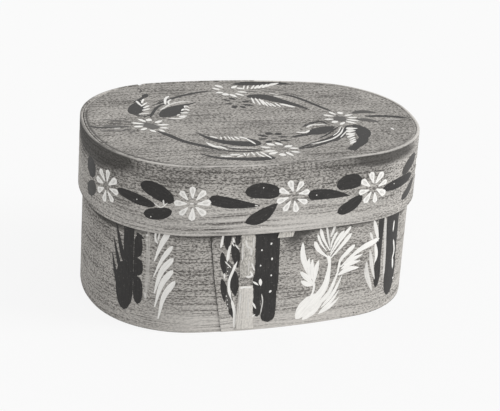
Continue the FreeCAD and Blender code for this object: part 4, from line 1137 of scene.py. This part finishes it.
# leaves beside one flower at the back, from its centre, and where its flowers stand
BACK_UNIT = (
    (8.4, "blunt", 1.0, (12, 1.6), (28, 0), (46, -3)),
    (*UPPER, (34, 7), (46, 8.4), (58, 6)),
    (*LOWER, (35, -16), (46, -12), (57, -4.6)),
)
BACK_FLOWERS, BACK_FIRST, BACK_PITCH, BACK_HEIGHT = 6, 178.0, 76.5, 111.0
# how unevenly the back's flowers stand, in way and height, and how its leaves differ in width and place
FLOWER_STRAY, LEAF_UNEVENNESS, LEAF_STRAY = (1.6, 0.9), 0.06, 0.5


def back_pattern():
    """Leaves and flowers of the lid's wall where its unit repeats round the back, in millimetres."""
    chance = np.random.default_rng(SEED + 4)
    leaves, flowers = [], []
    for unit in range(BACK_FLOWERS):
        way = BACK_FIRST + BACK_PITCH * unit + chance.normal(0, FLOWER_STRAY[0])
        height = BACK_HEIGHT + chance.normal(0, FLOWER_STRAY[1])
        flowers.append((way, height))
        for width, profile, cover, *points in BACK_UNIT:
            width = width * (1 + LEAF_UNEVENNESS * chance.normal())
            points = [
                (way + a + chance.normal(0, LEAF_STRAY), height + b + chance.normal(0, LEAF_STRAY))
                for a, b in points]
            if unit < BACK_FLOWERS - 1:
                leaves.append((width, profile, cover, *points))
    return leaves, flowers


SURFACE_OUTPUTS = {"Colour": "NodeSocketColor", "Roughness": "NodeSocketFloat", "Height": "NodeSocketFloat"}


# scales of the wood's noises, along its grain and across it, and how far the grain sways
SWAY_SCALE, BAND_SCALE, PATCH_SCALE, SPECK_SCALE = (14, 22, 14), (7, 110, 7), (24, 34, 24), (420, 860, 420)
SWAY_REACH, LINE_STRETCH = 6 * MM, 9.0
# how dark the wood is everywhere, and how much its broad bands and its patches add
BASE_SHADE, BAND_SHADE, PATCH_SHADE = 0.22, 0.5, 0.55
# scales of the paint's noises: along and across a stroke, and over the wood for its lost spots
STREAK_SCALE, SPOT_SCALE = (90, 900, 1), (420, 520, 420)
# where the noises start and stop to count, and for some the range that they then fill
LINE_RANGE, STRONG_RANGE, RUBBED_AND_LIT_RANGE = (0.44, 0.66), (0.35, 0.65, 0.35, 1.0), (0.45, 1.2)
# above the soaked range the dirt and painted shade are full, as in the painted shadow under the lid's edge
GRIME_AND_SHADE_RANGE, SOAKED_AND_SHADED_RANGE = (0.75, 1.3), (0.62, 1.0, 0.0, 0.9)
THIN_RANGE, BARE_RANGE, SKIPPED_RANGE = (0.4, 0.75), (0.6, 0.72), (0.2, 0.6, 0.75, 1.25)
# least roughness of wood and of paint, and how much their shade and streaks add
WOOD_ROUGHNESS, SHADE_ROUGHNESS, PAINT_ROUGHNESS, STREAK_ROUGHNESS = 0.62, 0.2, 0.42, 0.25
# how far the specks stand out of the wood beside its lines
SPECK_RELIEF = 0.25
# line pitch, line depth and speckle of each kind of wood
BAND_GRAIN, BOARD_GRAIN, BAST_GRAIN = (520.0, 0.9, 5.2), (430.0, 0.9, 6.0), (900.0, 0.6, 3.4)
PEG_GRAIN, PEG_SOIL, PAINTED_GRAIN = (700.0, 0.6, 0.8), 0.45, (520.0, 0.55, 0.9)


def grain_group():
    """Shader group for weathered straight-grained wood: lines along x, pores, dirt with painted shade, and
    rubbed edges with painted light.
    """
    nodes, given, result = group_nodes("Weathered Grain", "ShaderNodeTree", {
        "Place": VECTOR, "Light": COLOUR, "Dark": COLOUR, "Soil and shade colour": COLOUR, "Worn and lit colour": COLOUR,
        "Soil and shade": number(0.0), "Wear and light": number(0.0), "Line pitch": number(520.0), "Line depth": number(0.5),
        "Speckle": number(0.5),
    }, SURFACE_OUTPUTS)
    place = given.outputs["Place"]
    bend = nodes.noise(place, SWAY_SCALE, 1.0)
    sway = nodes.math("MULTIPLY", nodes.math("SUBTRACT", bend, 0.5), SWAY_REACH)
    warped = nodes.vector("ADD", place, nodes.joined(y=sway))
    line_scale = nodes.joined(x=LINE_STRETCH, y=given.outputs["Line pitch"], z=LINE_STRETCH)
    lines = nodes.noise(warped, line_scale, 3.0, 0.62)
    wide = nodes.noise(warped, BAND_SCALE)
    patch = nodes.noise(place, PATCH_SCALE, 3.0, 0.6)
    dots = nodes.noise(place, SPECK_SCALE, 2.0, 0.75)
    strong = nodes.spread(patch, *STRONG_RANGE)
    depth = nodes.math("MULTIPLY", strong, given.outputs["Line depth"])
    line = nodes.math("MULTIPLY", nodes.spread(lines, *LINE_RANGE), depth)
    dot = nodes.math("MULTIPLY", nodes.math("SUBTRACT", dots, 0.5), given.outputs["Speckle"])
    shade = nodes.math("ADD", line, nodes.math("MULTIPLY", nodes.math("SUBTRACT", wide, 0.5), BAND_SHADE))
    shade = nodes.math("ADD", shade, nodes.math("MULTIPLY", nodes.math("SUBTRACT", patch, 0.5), PATCH_SHADE))
    shade = nodes.math("ADD", nodes.math("ADD", shade, dot), BASE_SHADE, clamp=True)
    wood = nodes.mix(shade, given.outputs["Light"], given.outputs["Dark"])
    blotch = nodes.math("ADD", dots, patch)
    # grime and painted shade: the soil input carries dirt and painted shadows alike
    grime_and_shade = nodes.math("MULTIPLY", given.outputs["Soil and shade"], nodes.spread(blotch, *GRIME_AND_SHADE_RANGE), clamp=True)
    grime_and_shade = nodes.math("MAXIMUM", grime_and_shade, nodes.spread(given.outputs["Soil and shade"], *SOAKED_AND_SHADED_RANGE))
    dirty_and_shaded = nodes.mix(grime_and_shade, wood, given.outputs["Soil and shade colour"])
    # rubbed edges, and the painted light low on the walls' front, go towards the worn colour
    between = nodes.spread(nodes.math("SUBTRACT", blotch, line), *RUBBED_AND_LIT_RANGE)
    rubbed_and_lit = nodes.math("MULTIPLY", given.outputs["Wear and light"], between)
    colour = nodes.mix(rubbed_and_lit, dirty_and_shaded, given.outputs["Worn and lit colour"])
    rough = nodes.math("ADD", nodes.math("MULTIPLY", shade, SHADE_ROUGHNESS), WOOD_ROUGHNESS)
    height = nodes.math("SUBTRACT", nodes.math("MULTIPLY", dots, SPECK_RELIEF), line)
    for value, socket in zip((colour, rough, height), result.inputs):
        nodes.tree.links.new(value, socket)


def brush_group():
    """Shader group for thin brushed paint on wood: streaks along the stroke, thin places and worn spots."""
    nodes, given, result = group_nodes("Brushed Paint", "ShaderNodeTree", {
        "Stroke": VECTOR, "Place": VECTOR, "Paint": COLOUR, "Thin": COLOUR, "Wood": COLOUR,
        "Cover": number(1.0), "Worn spots": number(0.3),
    }, SURFACE_OUTPUTS)
    streak = nodes.noise(given.outputs["Stroke"], STREAK_SCALE, 2.0, 0.6)
    spots = nodes.noise(given.outputs["Place"], SPOT_SCALE, 3.0, 0.7)
    thin = nodes.mix(nodes.spread(streak, *THIN_RANGE), given.outputs["Paint"], given.outputs["Thin"])
    bare = nodes.math("MULTIPLY", nodes.spread(spots, *BARE_RANGE), given.outputs["Worn spots"])
    open_share = nodes.math("SUBTRACT", 1.0, given.outputs["Cover"])
    skipped = nodes.math("MULTIPLY", open_share, nodes.spread(streak, *SKIPPED_RANGE))
    lost = nodes.math("MAXIMUM", bare, skipped)
    colour = nodes.mix(nodes.math("ADD", lost, 0.0, clamp=True), thin, given.outputs["Wood"])
    rough = nodes.math("ADD", nodes.math("MULTIPLY", streak, STREAK_ROUGHNESS), PAINT_ROUGHNESS)
    for value, socket in zip((colour, rough, streak), result.inputs):
        nodes.tree.links.new(value, socket)


def new_material(name):
    """Material with only its shader and output, and the builder of its nodes."""
    material = bpy.data.materials.new(name)
    material.use_nodes = True
    material.node_tree.nodes.clear()
    nodes = Nodes(material.node_tree)
    surface = nodes.add("ShaderNodeBsdfPrincipled")
    output = nodes.add("ShaderNodeOutputMaterial")
    material.node_tree.links.new(surface.outputs[0], output.inputs[0])
    return material, nodes, surface


def opaque(colour):
    """Colour with full alpha, for a node's socket."""
    return (*colour, 1.0)


# how deep the reliefs of wood and of paint are, and how much each of them reflects
WOOD_RELIEF, PAINT_RELIEF = 0.12 * MM, 0.08 * MM
WOOD_SPECULAR, PAINT_SPECULAR = 0.2, 0.3


def finish_surface(nodes, surface, group, distance, specular):
    """Lead a group's outputs into the material's own shader."""
    links = nodes.tree.links
    links.new(group.outputs["Colour"], surface.inputs["Base Color"])
    links.new(group.outputs["Roughness"], surface.inputs["Roughness"])
    relief = {"Height": group.outputs["Height"], "Distance": distance, "Strength": 1.0}
    bump = nodes.add("ShaderNodeBump", relief)
    links.new(bump.outputs[0], surface.inputs["Normal"])
    surface.inputs["Specular IOR Level"].default_value = specular


def wood_values(place, grain):
    """Values of the grain group for one kind of wood."""
    pitch, depth, speckle = grain
    colours = bpy.context.scene.bentwood_colours
    return {
        "Place": place, "Light": opaque(colours.wood_light), "Dark": opaque(colours.wood_dark),
        "Soil and shade colour": opaque(colours.soil_and_shade), "Worn and lit colour": opaque(colours.worn_and_lit),
        "Line pitch": pitch, "Line depth": depth, "Speckle": speckle}


def grain_of(nodes, values):
    """The grain group placed in a material."""
    return nodes.add("ShaderNodeGroup", values, node_tree=bpy.data.node_groups["Weathered Grain"])


def own_map(nodes, name):
    """One of the piece's own UV maps."""
    return nodes.add("ShaderNodeUVMap", uv_map=name).outputs[0]


def wood_material(name, grain, own_tones=None):
    """Wood whose grain follows the piece's own Grain map, with light and dark tones of its own if given."""
    _, nodes, surface = new_material(name)
    # the Marks map carries soil with painted shade, and wear with painted light
    soil_and_shade, wear_and_light, _ = nodes.split(own_map(nodes, "Marks"))
    values = wood_values(own_map(nodes, "Grain"), grain)
    values.update({"Soil and shade": soil_and_shade, "Wear and light": wear_and_light})
    if own_tones:
        values["Light"], values["Dark"] = (opaque(colour) for colour in own_tones)
    finish_surface(nodes, surface, grain_of(nodes, values), WOOD_RELIEF, WOOD_SPECULAR)


def peg_material():
    """Darker end grain of the pegs, on the pieces' own coordinates."""
    _, nodes, surface = new_material("Peg wood")
    values = wood_values(nodes.add("ShaderNodeTexCoord").outputs["Object"], PEG_GRAIN)
    values["Soil and shade"] = PEG_SOIL
    finish_surface(nodes, surface, grain_of(nodes, values), WOOD_RELIEF, WOOD_SPECULAR)


def paint_material(name, colour, thin, worn_spots):
    """Brushed paint over the same wood, which shows where the paint is thin or worn."""
    _, nodes, surface = new_material(name)
    place = own_map(nodes, "Grain")
    wood = grain_of(nodes, wood_values(place, PAINTED_GRAIN))
    paint = nodes.add("ShaderNodeGroup", {
        "Stroke": own_map(nodes, "Stroke"), "Place": place, "Wood": wood.outputs["Colour"],
        "Cover": nodes.split(own_map(nodes, "Marks"))[0], "Paint": opaque(colour), "Thin": opaque(thin),
        "Worn spots": worn_spots}, node_tree=bpy.data.node_groups["Brushed Paint"])
    finish_surface(nodes, surface, paint, PAINT_RELIEF, PAINT_SPECULAR)


def material_of(name):
    return bpy.data.materials[name]


# points of a band's seam that are closer than this are joined
SEAM_GAP = 0.002 * MM


def merged(piece):
    """Close the seam of a band that was bent round its wall."""
    mesh = bmesh.new()
    mesh.from_mesh(piece.data)
    bmesh.ops.remove_doubles(mesh, verts=mesh.verts, dist=SEAM_GAP)
    mesh.to_mesh(piece.data)
    mesh.free()
    return piece


def bent(flat, name, part, material):
    """A flat piece bent round the box's or the lid's wall."""
    return shaped(flat, name, bpy.data.node_groups["Bend Round Wall"],
                  Wall_line=bpy.data.objects[f"{part}_wall_line"], Material=material_of(material))


def seat_on_wall(flat, part):
    """Add the wall's own relief to the lift of a flat piece."""
    count = len(flat.data.vertices)
    places = np.empty(count * 3, np.float32)
    flat.data.vertices.foreach_get("co", places)
    places = places.reshape(-1, 3).astype(float)
    places[:, 1] += wall_face(part, places[:, 0], places[:, 2])
    flat.data.vertices.foreach_set("co", places.ravel())


# edges sharper than this stay sharp
SHARP_ANGLE = math.radians(40)


def settled(piece, body, slot, *nodes):
    """Give a finished piece its shading and its body, and hide the CAD nodes that it stands for. Its slot is
    not used.
    """
    piece.data.polygons.foreach_set("use_smooth", [True] * len(piece.data.polygons))
    piece.data.set_sharp_from_angle(angle=SHARP_ANGLE)
    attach(piece, body)
    if nodes:
        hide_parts(*nodes)


def point_cloud(name, places, directions=None):
    """Object of loose points for the trees, with the inward direction at each where it is given."""
    mesh = bpy.data.meshes.new(name)
    mesh.from_pydata([tuple(place) for place in places], [], [])
    if directions is not None:
        inward = mesh.attributes.new("inward", "FLOAT_VECTOR", "POINT")
        inward.data.foreach_set("vector", np.ravel(directions))
    cloud = bpy.data.objects.new(name, mesh)
    bpy.context.collection.objects.link(cloud)
    return cloud


# how dark the bast's lines are, each paint's tone where it is thin, and how much of it its worn spots lose
BAST_LINES, DARK_THIN, LIGHT_THIN, DARK_WORN, LIGHT_WORN = 0.42, 1.7, 0.86, 0.22, 0.2


def shaded(colour, share):
    """Colour darkened or lightened by a share."""
    return tuple(share * value for value in colour)


class BENTWOOD_OT_prepare(bpy.types.Operator):
    """Make the wall lines, node trees and materials that the pieces share"""
    bl_idname = "bentwood.prepare"
    bl_label = "Materials and Trees"

    def execute(self, context):
        colours = context.scene.bentwood_colours
        BOX_OVAL.line_object("box_wall_line")
        LID_OVAL.line_object("lid_wall_line")
        wall_tree()
        flower_tree()
        peg_tree()
        grain_group()
        brush_group()
        wood_material("Band wood", BAND_GRAIN)
        wood_material("Board wood", BOARD_GRAIN)
        light = tuple(colours.ribbon)
        wood_material("Bast", BAST_GRAIN, (light, shaded(light, BAST_LINES)))
        peg_material()
        dark = tuple(colours.dark_paint)
        paint_material("Dark paint", dark, shaded(dark, DARK_THIN), DARK_WORN)
        white = tuple(colours.light_paint)
        paint_material("Light paint", white, shaded(white, LIGHT_THIN), LIGHT_WORN)
        return {"FINISHED"}


class BENTWOOD_OT_bands(bpy.types.Operator):
    """Bend the box's and the lid's bands round their ovals"""
    bl_idname = "bentwood.bands"
    bl_label = "Bands"

    def execute(self, context):
        for part in ("box", "lid"):
            piece = merged(bent(make_band(part), f"{part}_wall", part, "Band wood"))
            settled(piece, part, "band_wood", f"{part}_band")
        return {"FINISHED"}


class BENTWOOD_OT_boards(bpy.types.Operator):
    """Make the lid's board and the box's bottom"""
    bl_idname = "bentwood.boards"
    bl_label = "Boards"

    def execute(self, context):
        rows = (("lid_top", "lid", LID_BOARD_INSET, LID_BOARD, 0.9 * MM, "lid_board"),
                ("box_floor", "box", BOX_BOARD_INSET, BOX_BOARD, 0.0, "box_bottom"))
        for name, body, inset, levels, gap, node in rows:
            piece = make_board(name, inset, levels, gap)
            piece.data.materials.append(material_of("Board wood"))
            settled(piece, body, "board_wood", node)
        return {"FINISHED"}


# each board's pegs: body, oval, height, way of the first past the right tip, and CAD node
PEG_ROWS = (
    ("box", BOX_OVAL, 6.0 * MM, 15.8 * MM, "box_bottom_pegs"),
    ("lid", LID_OVAL, 135.55 * MM, 92.2 * MM, "lid_board_pegs"))
PEG_COUNT, PEG_SINK = 6, 0.12 * MM


class BENTWOOD_OT_pegs(bpy.types.Operator):
    """Drive the pegs that hold the boards in the bands"""
    bl_idname = "bentwood.pegs"
    bl_label = "Pegs"

    def execute(self, context):
        sizes = context.scene.bentwood_sizes
        for part, oval, height, start, node in PEG_ROWS:
            ways = oval.tip_way() + start + np.arange(PEG_COUNT) * oval.length / PEG_COUNT
            points, outward = oval.walk(ways)
            middle = points - outward * (sizes.peg_length / 2 + PEG_SINK)
            places = np.c_[middle, np.full(PEG_COUNT, height)]
            cloud = point_cloud(f"{part}_peg_points", places, np.c_[-outward, np.zeros(PEG_COUNT)])
            piece = shaped(cloud, f"{part}_pegs", bpy.data.node_groups["Pegs"], Radius=sizes.peg_radius,
                           Length=sizes.peg_length, Seed=SEED, Material=material_of("Peg wood"))
            settled(piece, part, "peg_wood", node)
        return {"FINISHED"}


# where the front ribbon's two edges run: heights and ways in millimetres
FRONT_LEFT = ((0, 37, 46, 82), (-5.0, -4.2, -4.2, -4.4))
FRONT_RIGHT = ((1, 12, 38, 46, 82), (9.4, 8.4, 7.2, 6.8, 6.2))
# the same for the lid's ribbon, and each ribbon's path of lift and height through its slits
BACK_SIDES = (386.3, 396.8)
FRONT_PATH = (
    (-2.7, 2.05), (0.0, 2.05), (0.3, 2.1), (0.5, 2.6), (0.5, 37.8), (0.3, 38.5), (-0.3, 38.6), (-3.3, 38.6),
    (-3.5, 39.4), (-3.5, 45.2), (-3.3, 45.9), (-0.3, 45.9), (0.3, 46.1), (0.5, 46.8), (0.5, 80.8),
    (0.3, 81.5), (-0.3, 81.6), (-3.3, 81.6), (-3.5, 82.4), (-3.5, 91))
BACK_PATH = (
    (-2.7, 91.45), (-0.3, 91.45), (0.3, 91.6), (0.5, 92.2), (0.5, 126.4), (0.3, 127.0), (-0.3, 127.15),
    (-2.7, 127.15))
# the tongue between lid and box: its foot, its height, its middle, its slant and its half width
SHIM_FOOT, SHIM_HEIGHT = 77.6 * MM, 17.2 * MM
SHIM_WAY, SHIM_SLANT, SHIM_HALF = 33.0 * MM, 4.8 * MM, 6.2 * MM


def front_sides(z):
    """Ways of the front ribbon's edges at heights."""
    edges = (FRONT_LEFT, FRONT_RIGHT)
    return tuple(np.interp(z, np.array(heights) * MM, np.array(ways) * MM) for heights, ways in edges)


def back_sides(z):
    """Ways of the lid ribbon's edges, the same at all heights."""
    return tuple(way * MM + 0 * z for way in BACK_SIDES)


def shim_shape():
    """The tongue in wall coordinates."""
    rows = []
    for share in np.linspace(0, 1, 7):
        z = SHIM_FOOT + share * SHIM_HEIGHT
        way = SHIM_WAY + (share - 0.5) * SHIM_SLANT + np.linspace(-SHIM_HALF, SHIM_HALF, 6)
        outer, inner = -WALL - 0.14 * MM, -WALL - 0.48 * MM
        rows.append([(w, outer, z) for w in way] + [(w, inner, z) for w in way[::-1]])
    points = np.array(rows)
    shape = Shape()
    index = shape.grid(points, points[..., [2, 0]], closed_across=True)
    shape.cap(index[0], False)
    shape.cap(index[-1], True)
    return shape.make("shim_flat")


class BENTWOOD_OT_lacing(bpy.types.Operator):
    """Lace the ribbons through both laps and tuck the shim in the lid"""
    bl_idname = "bentwood.lacing"
    bl_label = "Lacing and Shim"

    def execute(self, context):
        flat = ribbon_shape("box_ribbon_flat", "box", FRONT_PATH, front_sides, SEED)
        settled(bent(flat, "box_ribbon", "box", "Bast"), "box", "bast", "box_seam_ribbon")
        flat = ribbon_shape("lid_ribbon_flat", "lid", BACK_PATH, back_sides, SEED + 1)
        settled(bent(flat, "lid_ribbon", "lid", "Bast"), "lid", "bast", "lid_seam_ribbon")
        flecks = painted("ribbon_flecks_flat", on_ribbon, RIBBON_FLECKS, FLECK_LIFT)
        settled(bent(flecks, "box_ribbon_flecks", "box", "Light paint"), "box", "paint_light")
        settled(bent(shim_shape(), "shim", "lid", "Bast"), "lid", "bast", "lid_shim")
        return {"FINISHED"}


# the thin middle of a petal: shares of its half length, share of its width, and its cover
PETAL_HEART, HEART_WIDTH, HEART_COVER = (-0.25, 0.2, 0.66), 0.42, 0.62
PETAL_UNEVENNESS = 0.13


def off_wall(flat, lift):
    """Places for a petal, which meets the wall's own relief later."""
    return np.stack([flat[..., 0], np.full(flat.shape[:2], lift), flat[..., 1]], -1)


class BENTWOOD_OT_wall_paint(bpy.types.Operator):
    """Paint the leaves, bars, ferns and flowers on both walls"""
    bl_idname = "bentwood.wall_paint"
    bl_label = "Paint on the Walls"

    def execute(self, context):
        sizes = context.scene.bentwood_sizes
        back_leaves, back_flowers = back_pattern()
        tables = (
            ("lid", "dark", WALL_LEAVES + back_leaves, DARK_LIFT), ("lid", "light", WALL_FLECKS, LIGHT_LIFT),
            ("box", "dark", BOX_DARK, DARK_LIFT), ("box", "light", BOX_LIGHT, LIGHT_LIFT))
        for part, tone, rows, lift in tables:
            flat = painted(f"{part}_{tone}_flat", on_wall(part), rows, lift, wall_grain(part))
            piece = bent(flat, f"{part}_wall_{tone}_paint", part, f"{tone.capitalize()} paint")
            settled(piece, part, f"paint_{tone}")

        half = sizes.petal_length / 2 / MM
        width = sizes.petal_width / MM
        heart = [(share * half, 0) for share in PETAL_HEART]
        rows = [(width, "drop", 1.0, (-half, 0), (0, 0), (half, 0)),
                (HEART_WIDTH * width, "oval", HEART_COVER, *heart)]
        petal = painted("petal", off_wall, rows, LIGHT_LIFT)
        places = [(way * MM, 0.0, height * MM) for way, height in FLOWERS + back_flowers]
        cloud = point_cloud("flower_points", places)
        ring = shaped(cloud, "flower_flat", bpy.data.node_groups["Petal Rings"], Petal=petal,
                      Petals=sizes.petals, Ring_radius=sizes.flower_radius, Seed=SEED,
                      Unevenness=PETAL_UNEVENNESS, Material=material_of("Light paint"))
        seat_on_wall(ring, "lid")
        settled(bent(ring, "lid_wall_flowers", "lid", "Light paint"), "lid", "paint_light")
        bpy.data.objects.remove(petal)
        return {"FINISHED"}


class BENTWOOD_OT_lid_paint(bpy.types.Operator):
    """Paint the wreath of flowers and leaves on the lid's top"""
    bl_idname = "bentwood.lid_paint"
    bl_label = "Paint on the Lid"

    def execute(self, context):
        for tone, rows, lift in (("dark", TOP_DARK, DARK_LIFT), ("light", TOP_LIGHT, LIGHT_LIFT)):
            piece = painted(f"lid_top_{tone}_paint", on_lid, rows, lift)
            piece.data.materials.append(material_of(f"{tone.capitalize()} paint"))
            settled(piece, "lid", f"paint_{tone}")
        return {"FINISHED"}


# the background, the floor under the object's shadow, and how much of the floor shows as plain background
BACKGROUND, FLOOR_COLOUR, FLOOR_GLOW = (0.96, 0.96, 0.96), (0.86, 0.86, 0.86), (0.98, 0.98, 0.98)
GLOW_SHARE = 0.88
KEY_BREADTH = math.radians(25)
KEY_DIRECTION = (-0.86, 0.30, -0.42)
# the photograph's view, with the picture's middle and the target's place in pixels
CAMERA = {"azimuth": -16.681, "elevation": 23.091, "roll": 3.81, "distance": 1.4494, "lens": 129.6}
TARGET_HEIGHT = 69.75 * MM
PICTURE = (500, 411)
TARGET_PIXEL = (245.816, 200.616)


def plain_ray(nodes):
    """1 for rays that show the background: camera, mirror and glass rays."""
    path = nodes.add("ShaderNodeLightPath")
    first = nodes.math("MAXIMUM", path.outputs["Is Camera Ray"], path.outputs["Is Glossy Ray"])
    return nodes.math("MAXIMUM", first, path.outputs["Is Transmission Ray"])


def set_world(scene, strength):
    """Even light, with a pale background for the rays that show it."""
    world = bpy.data.worlds.new("Pale room")
    scene.world = world
    world.use_nodes = True
    world.node_tree.nodes.clear()
    nodes = Nodes(world.node_tree)
    even = nodes.add("ShaderNodeBackground", {0: (1, 1, 1, 1), 1: strength})
    pale = nodes.add("ShaderNodeBackground", {0: (*BACKGROUND, 1), 1: 1.0})
    mixed = nodes.add("ShaderNodeMixShader", {0: plain_ray(nodes), 1: even.outputs[0], 2: pale.outputs[0]})
    nodes.add("ShaderNodeOutputWorld", {0: mixed.outputs[0]})


def set_floor(scene, reach):
    """Pale floor that keeps the object's shadow and otherwise shows as the background does."""
    mesh = bpy.data.meshes.new("floor")
    corners = [(-reach, -reach, 0), (reach, -reach, 0), (reach, reach, 0), (-reach, reach, 0)]
    mesh.from_pydata(corners, [], [(0, 1, 2, 3)])
    floor = bpy.data.objects.new("floor", mesh)
    scene.collection.objects.link(floor)
    material, nodes, surface = new_material("Pale floor")
    surface.inputs["Base Color"].default_value = (*FLOOR_COLOUR, 1)
    surface.inputs["Roughness"].default_value = 0.9
    surface.inputs["Specular IOR Level"].default_value = 0.1
    glow = nodes.add("ShaderNodeEmission", {0: (*FLOOR_GLOW, 1), 1: 1.0})
    share = nodes.math("MULTIPLY", plain_ray(nodes), GLOW_SHARE)
    mixed = nodes.add("ShaderNodeMixShader", {0: share, 1: surface.outputs[0], 2: glow.outputs[0]})
    output = next(node for node in nodes.tree.nodes if node.bl_idname == "ShaderNodeOutputMaterial")
    nodes.tree.links.new(mixed.outputs[0], output.inputs[0])
    mesh.materials.append(material)


def set_key(scene, strength):
    """Broad soft lamp from the front right."""
    lamp = bpy.data.lights.new("key", "SUN")
    lamp.energy = strength
    lamp.angle = KEY_BREADTH
    key = bpy.data.objects.new("key", lamp)
    key.rotation_mode = "QUATERNION"
    key.rotation_quaternion = Vector(KEY_DIRECTION).to_track_quat("-Z", "Y")
    scene.collection.objects.link(key)


def set_camera(scene):
    """Camera at the photograph's angle, with its framing as a small lens shift."""
    azimuth, elevation, roll = (math.radians(CAMERA[key]) for key in ("azimuth", "elevation", "roll"))
    back = Vector((math.sin(azimuth) * math.cos(elevation), -math.cos(azimuth) * math.cos(elevation),
                   math.sin(elevation)))
    right = Vector((math.cos(azimuth), math.sin(azimuth), 0))
    up = back.cross(right)
    turned_right = right * math.cos(roll) + up * math.sin(roll)
    turned_up = up * math.cos(roll) - right * math.sin(roll)
    lens = bpy.data.cameras.new("view")
    lens.lens = CAMERA["lens"]
    lens.dof.use_dof = False
    lens.shift_x = (PICTURE[0] / 2 - TARGET_PIXEL[0]) / PICTURE[0]
    lens.shift_y = (TARGET_PIXEL[1] - PICTURE[1] / 2) / PICTURE[0]
    camera = bpy.data.objects.new("view", lens)
    columns = Matrix((turned_right, turned_up, back)).transposed()
    place = Vector((0, 0, TARGET_HEIGHT)) + back * CAMERA["distance"]
    camera.matrix_world = Matrix.Translation(place) @ columns.to_4x4()
    scene.collection.objects.link(camera)
    scene.camera = camera


class BENTWOOD_OT_stage(bpy.types.Operator):
    """Set the floor, the lamps and the camera"""
    bl_idname = "bentwood.stage"
    bl_label = "Stage"

    def execute(self, context):
        settings, scene = context.scene.bentwood_stage, context.scene
        scene.view_settings.view_transform = "Standard"
        set_world(scene, settings.sky_strength)
        set_floor(scene, settings.floor_reach)
        set_key(scene, settings.key_strength)
        set_camera(scene)
        for name in ("box_wall_line", "lid_wall_line"):
            bpy.data.objects.remove(bpy.data.objects[name])
        return {"FINISHED"}


class BENTWOOD_PT_panel(bpy.types.Panel):
    """Sizes, colours and steps of the bentwood box"""
    bl_idname = "BENTWOOD_PT_panel"
    bl_label = "Bentwood Box"
    bl_space_type = "VIEW_3D"
    bl_region_type = "UI"
    bl_category = "Bentwood Box"

    def draw(self, context):
        for group in SETTINGS:
            settings = getattr(context.scene, group)
            column = self.layout.column(align=True)
            for name in settings.bl_rna.properties.keys():
                if name not in ("rna_type", "name"):
                    column.prop(settings, name)
        for operator in OPERATORS:
            self.layout.operator(operator.bl_idname)


SETTINGS = {"bentwood_sizes": BoxSizes, "bentwood_colours": BoxColours, "bentwood_stage": StageSettings}
OPERATORS = (
    BENTWOOD_OT_prepare, BENTWOOD_OT_bands, BENTWOOD_OT_boards, BENTWOOD_OT_pegs, BENTWOOD_OT_lacing,
    BENTWOOD_OT_wall_paint, BENTWOOD_OT_lid_paint, BENTWOOD_OT_stage)
CLASSES = (*SETTINGS.values(), *OPERATORS, BENTWOOD_PT_panel)


def register():
    for item in CLASSES:
        bpy.utils.register_class(item)
    for name, group in SETTINGS.items():
        setattr(bpy.types.Scene, name, PointerProperty(type=group))


def unregister():
    for name in SETTINGS:
        delattr(bpy.types.Scene, name)
    for item in reversed(CLASSES):
        bpy.utils.unregister_class(item)


def main():
    """Build everything in order."""
    register()
    bpy.ops.bentwood.prepare()
    bpy.ops.bentwood.bands()
    bpy.ops.bentwood.boards()
    bpy.ops.bentwood.pegs()
    bpy.ops.bentwood.lacing()
    bpy.ops.bentwood.wall_paint()
    bpy.ops.bentwood.lid_paint()
    bpy.ops.bentwood.stage()


if __name__ == "__main__":
    main()
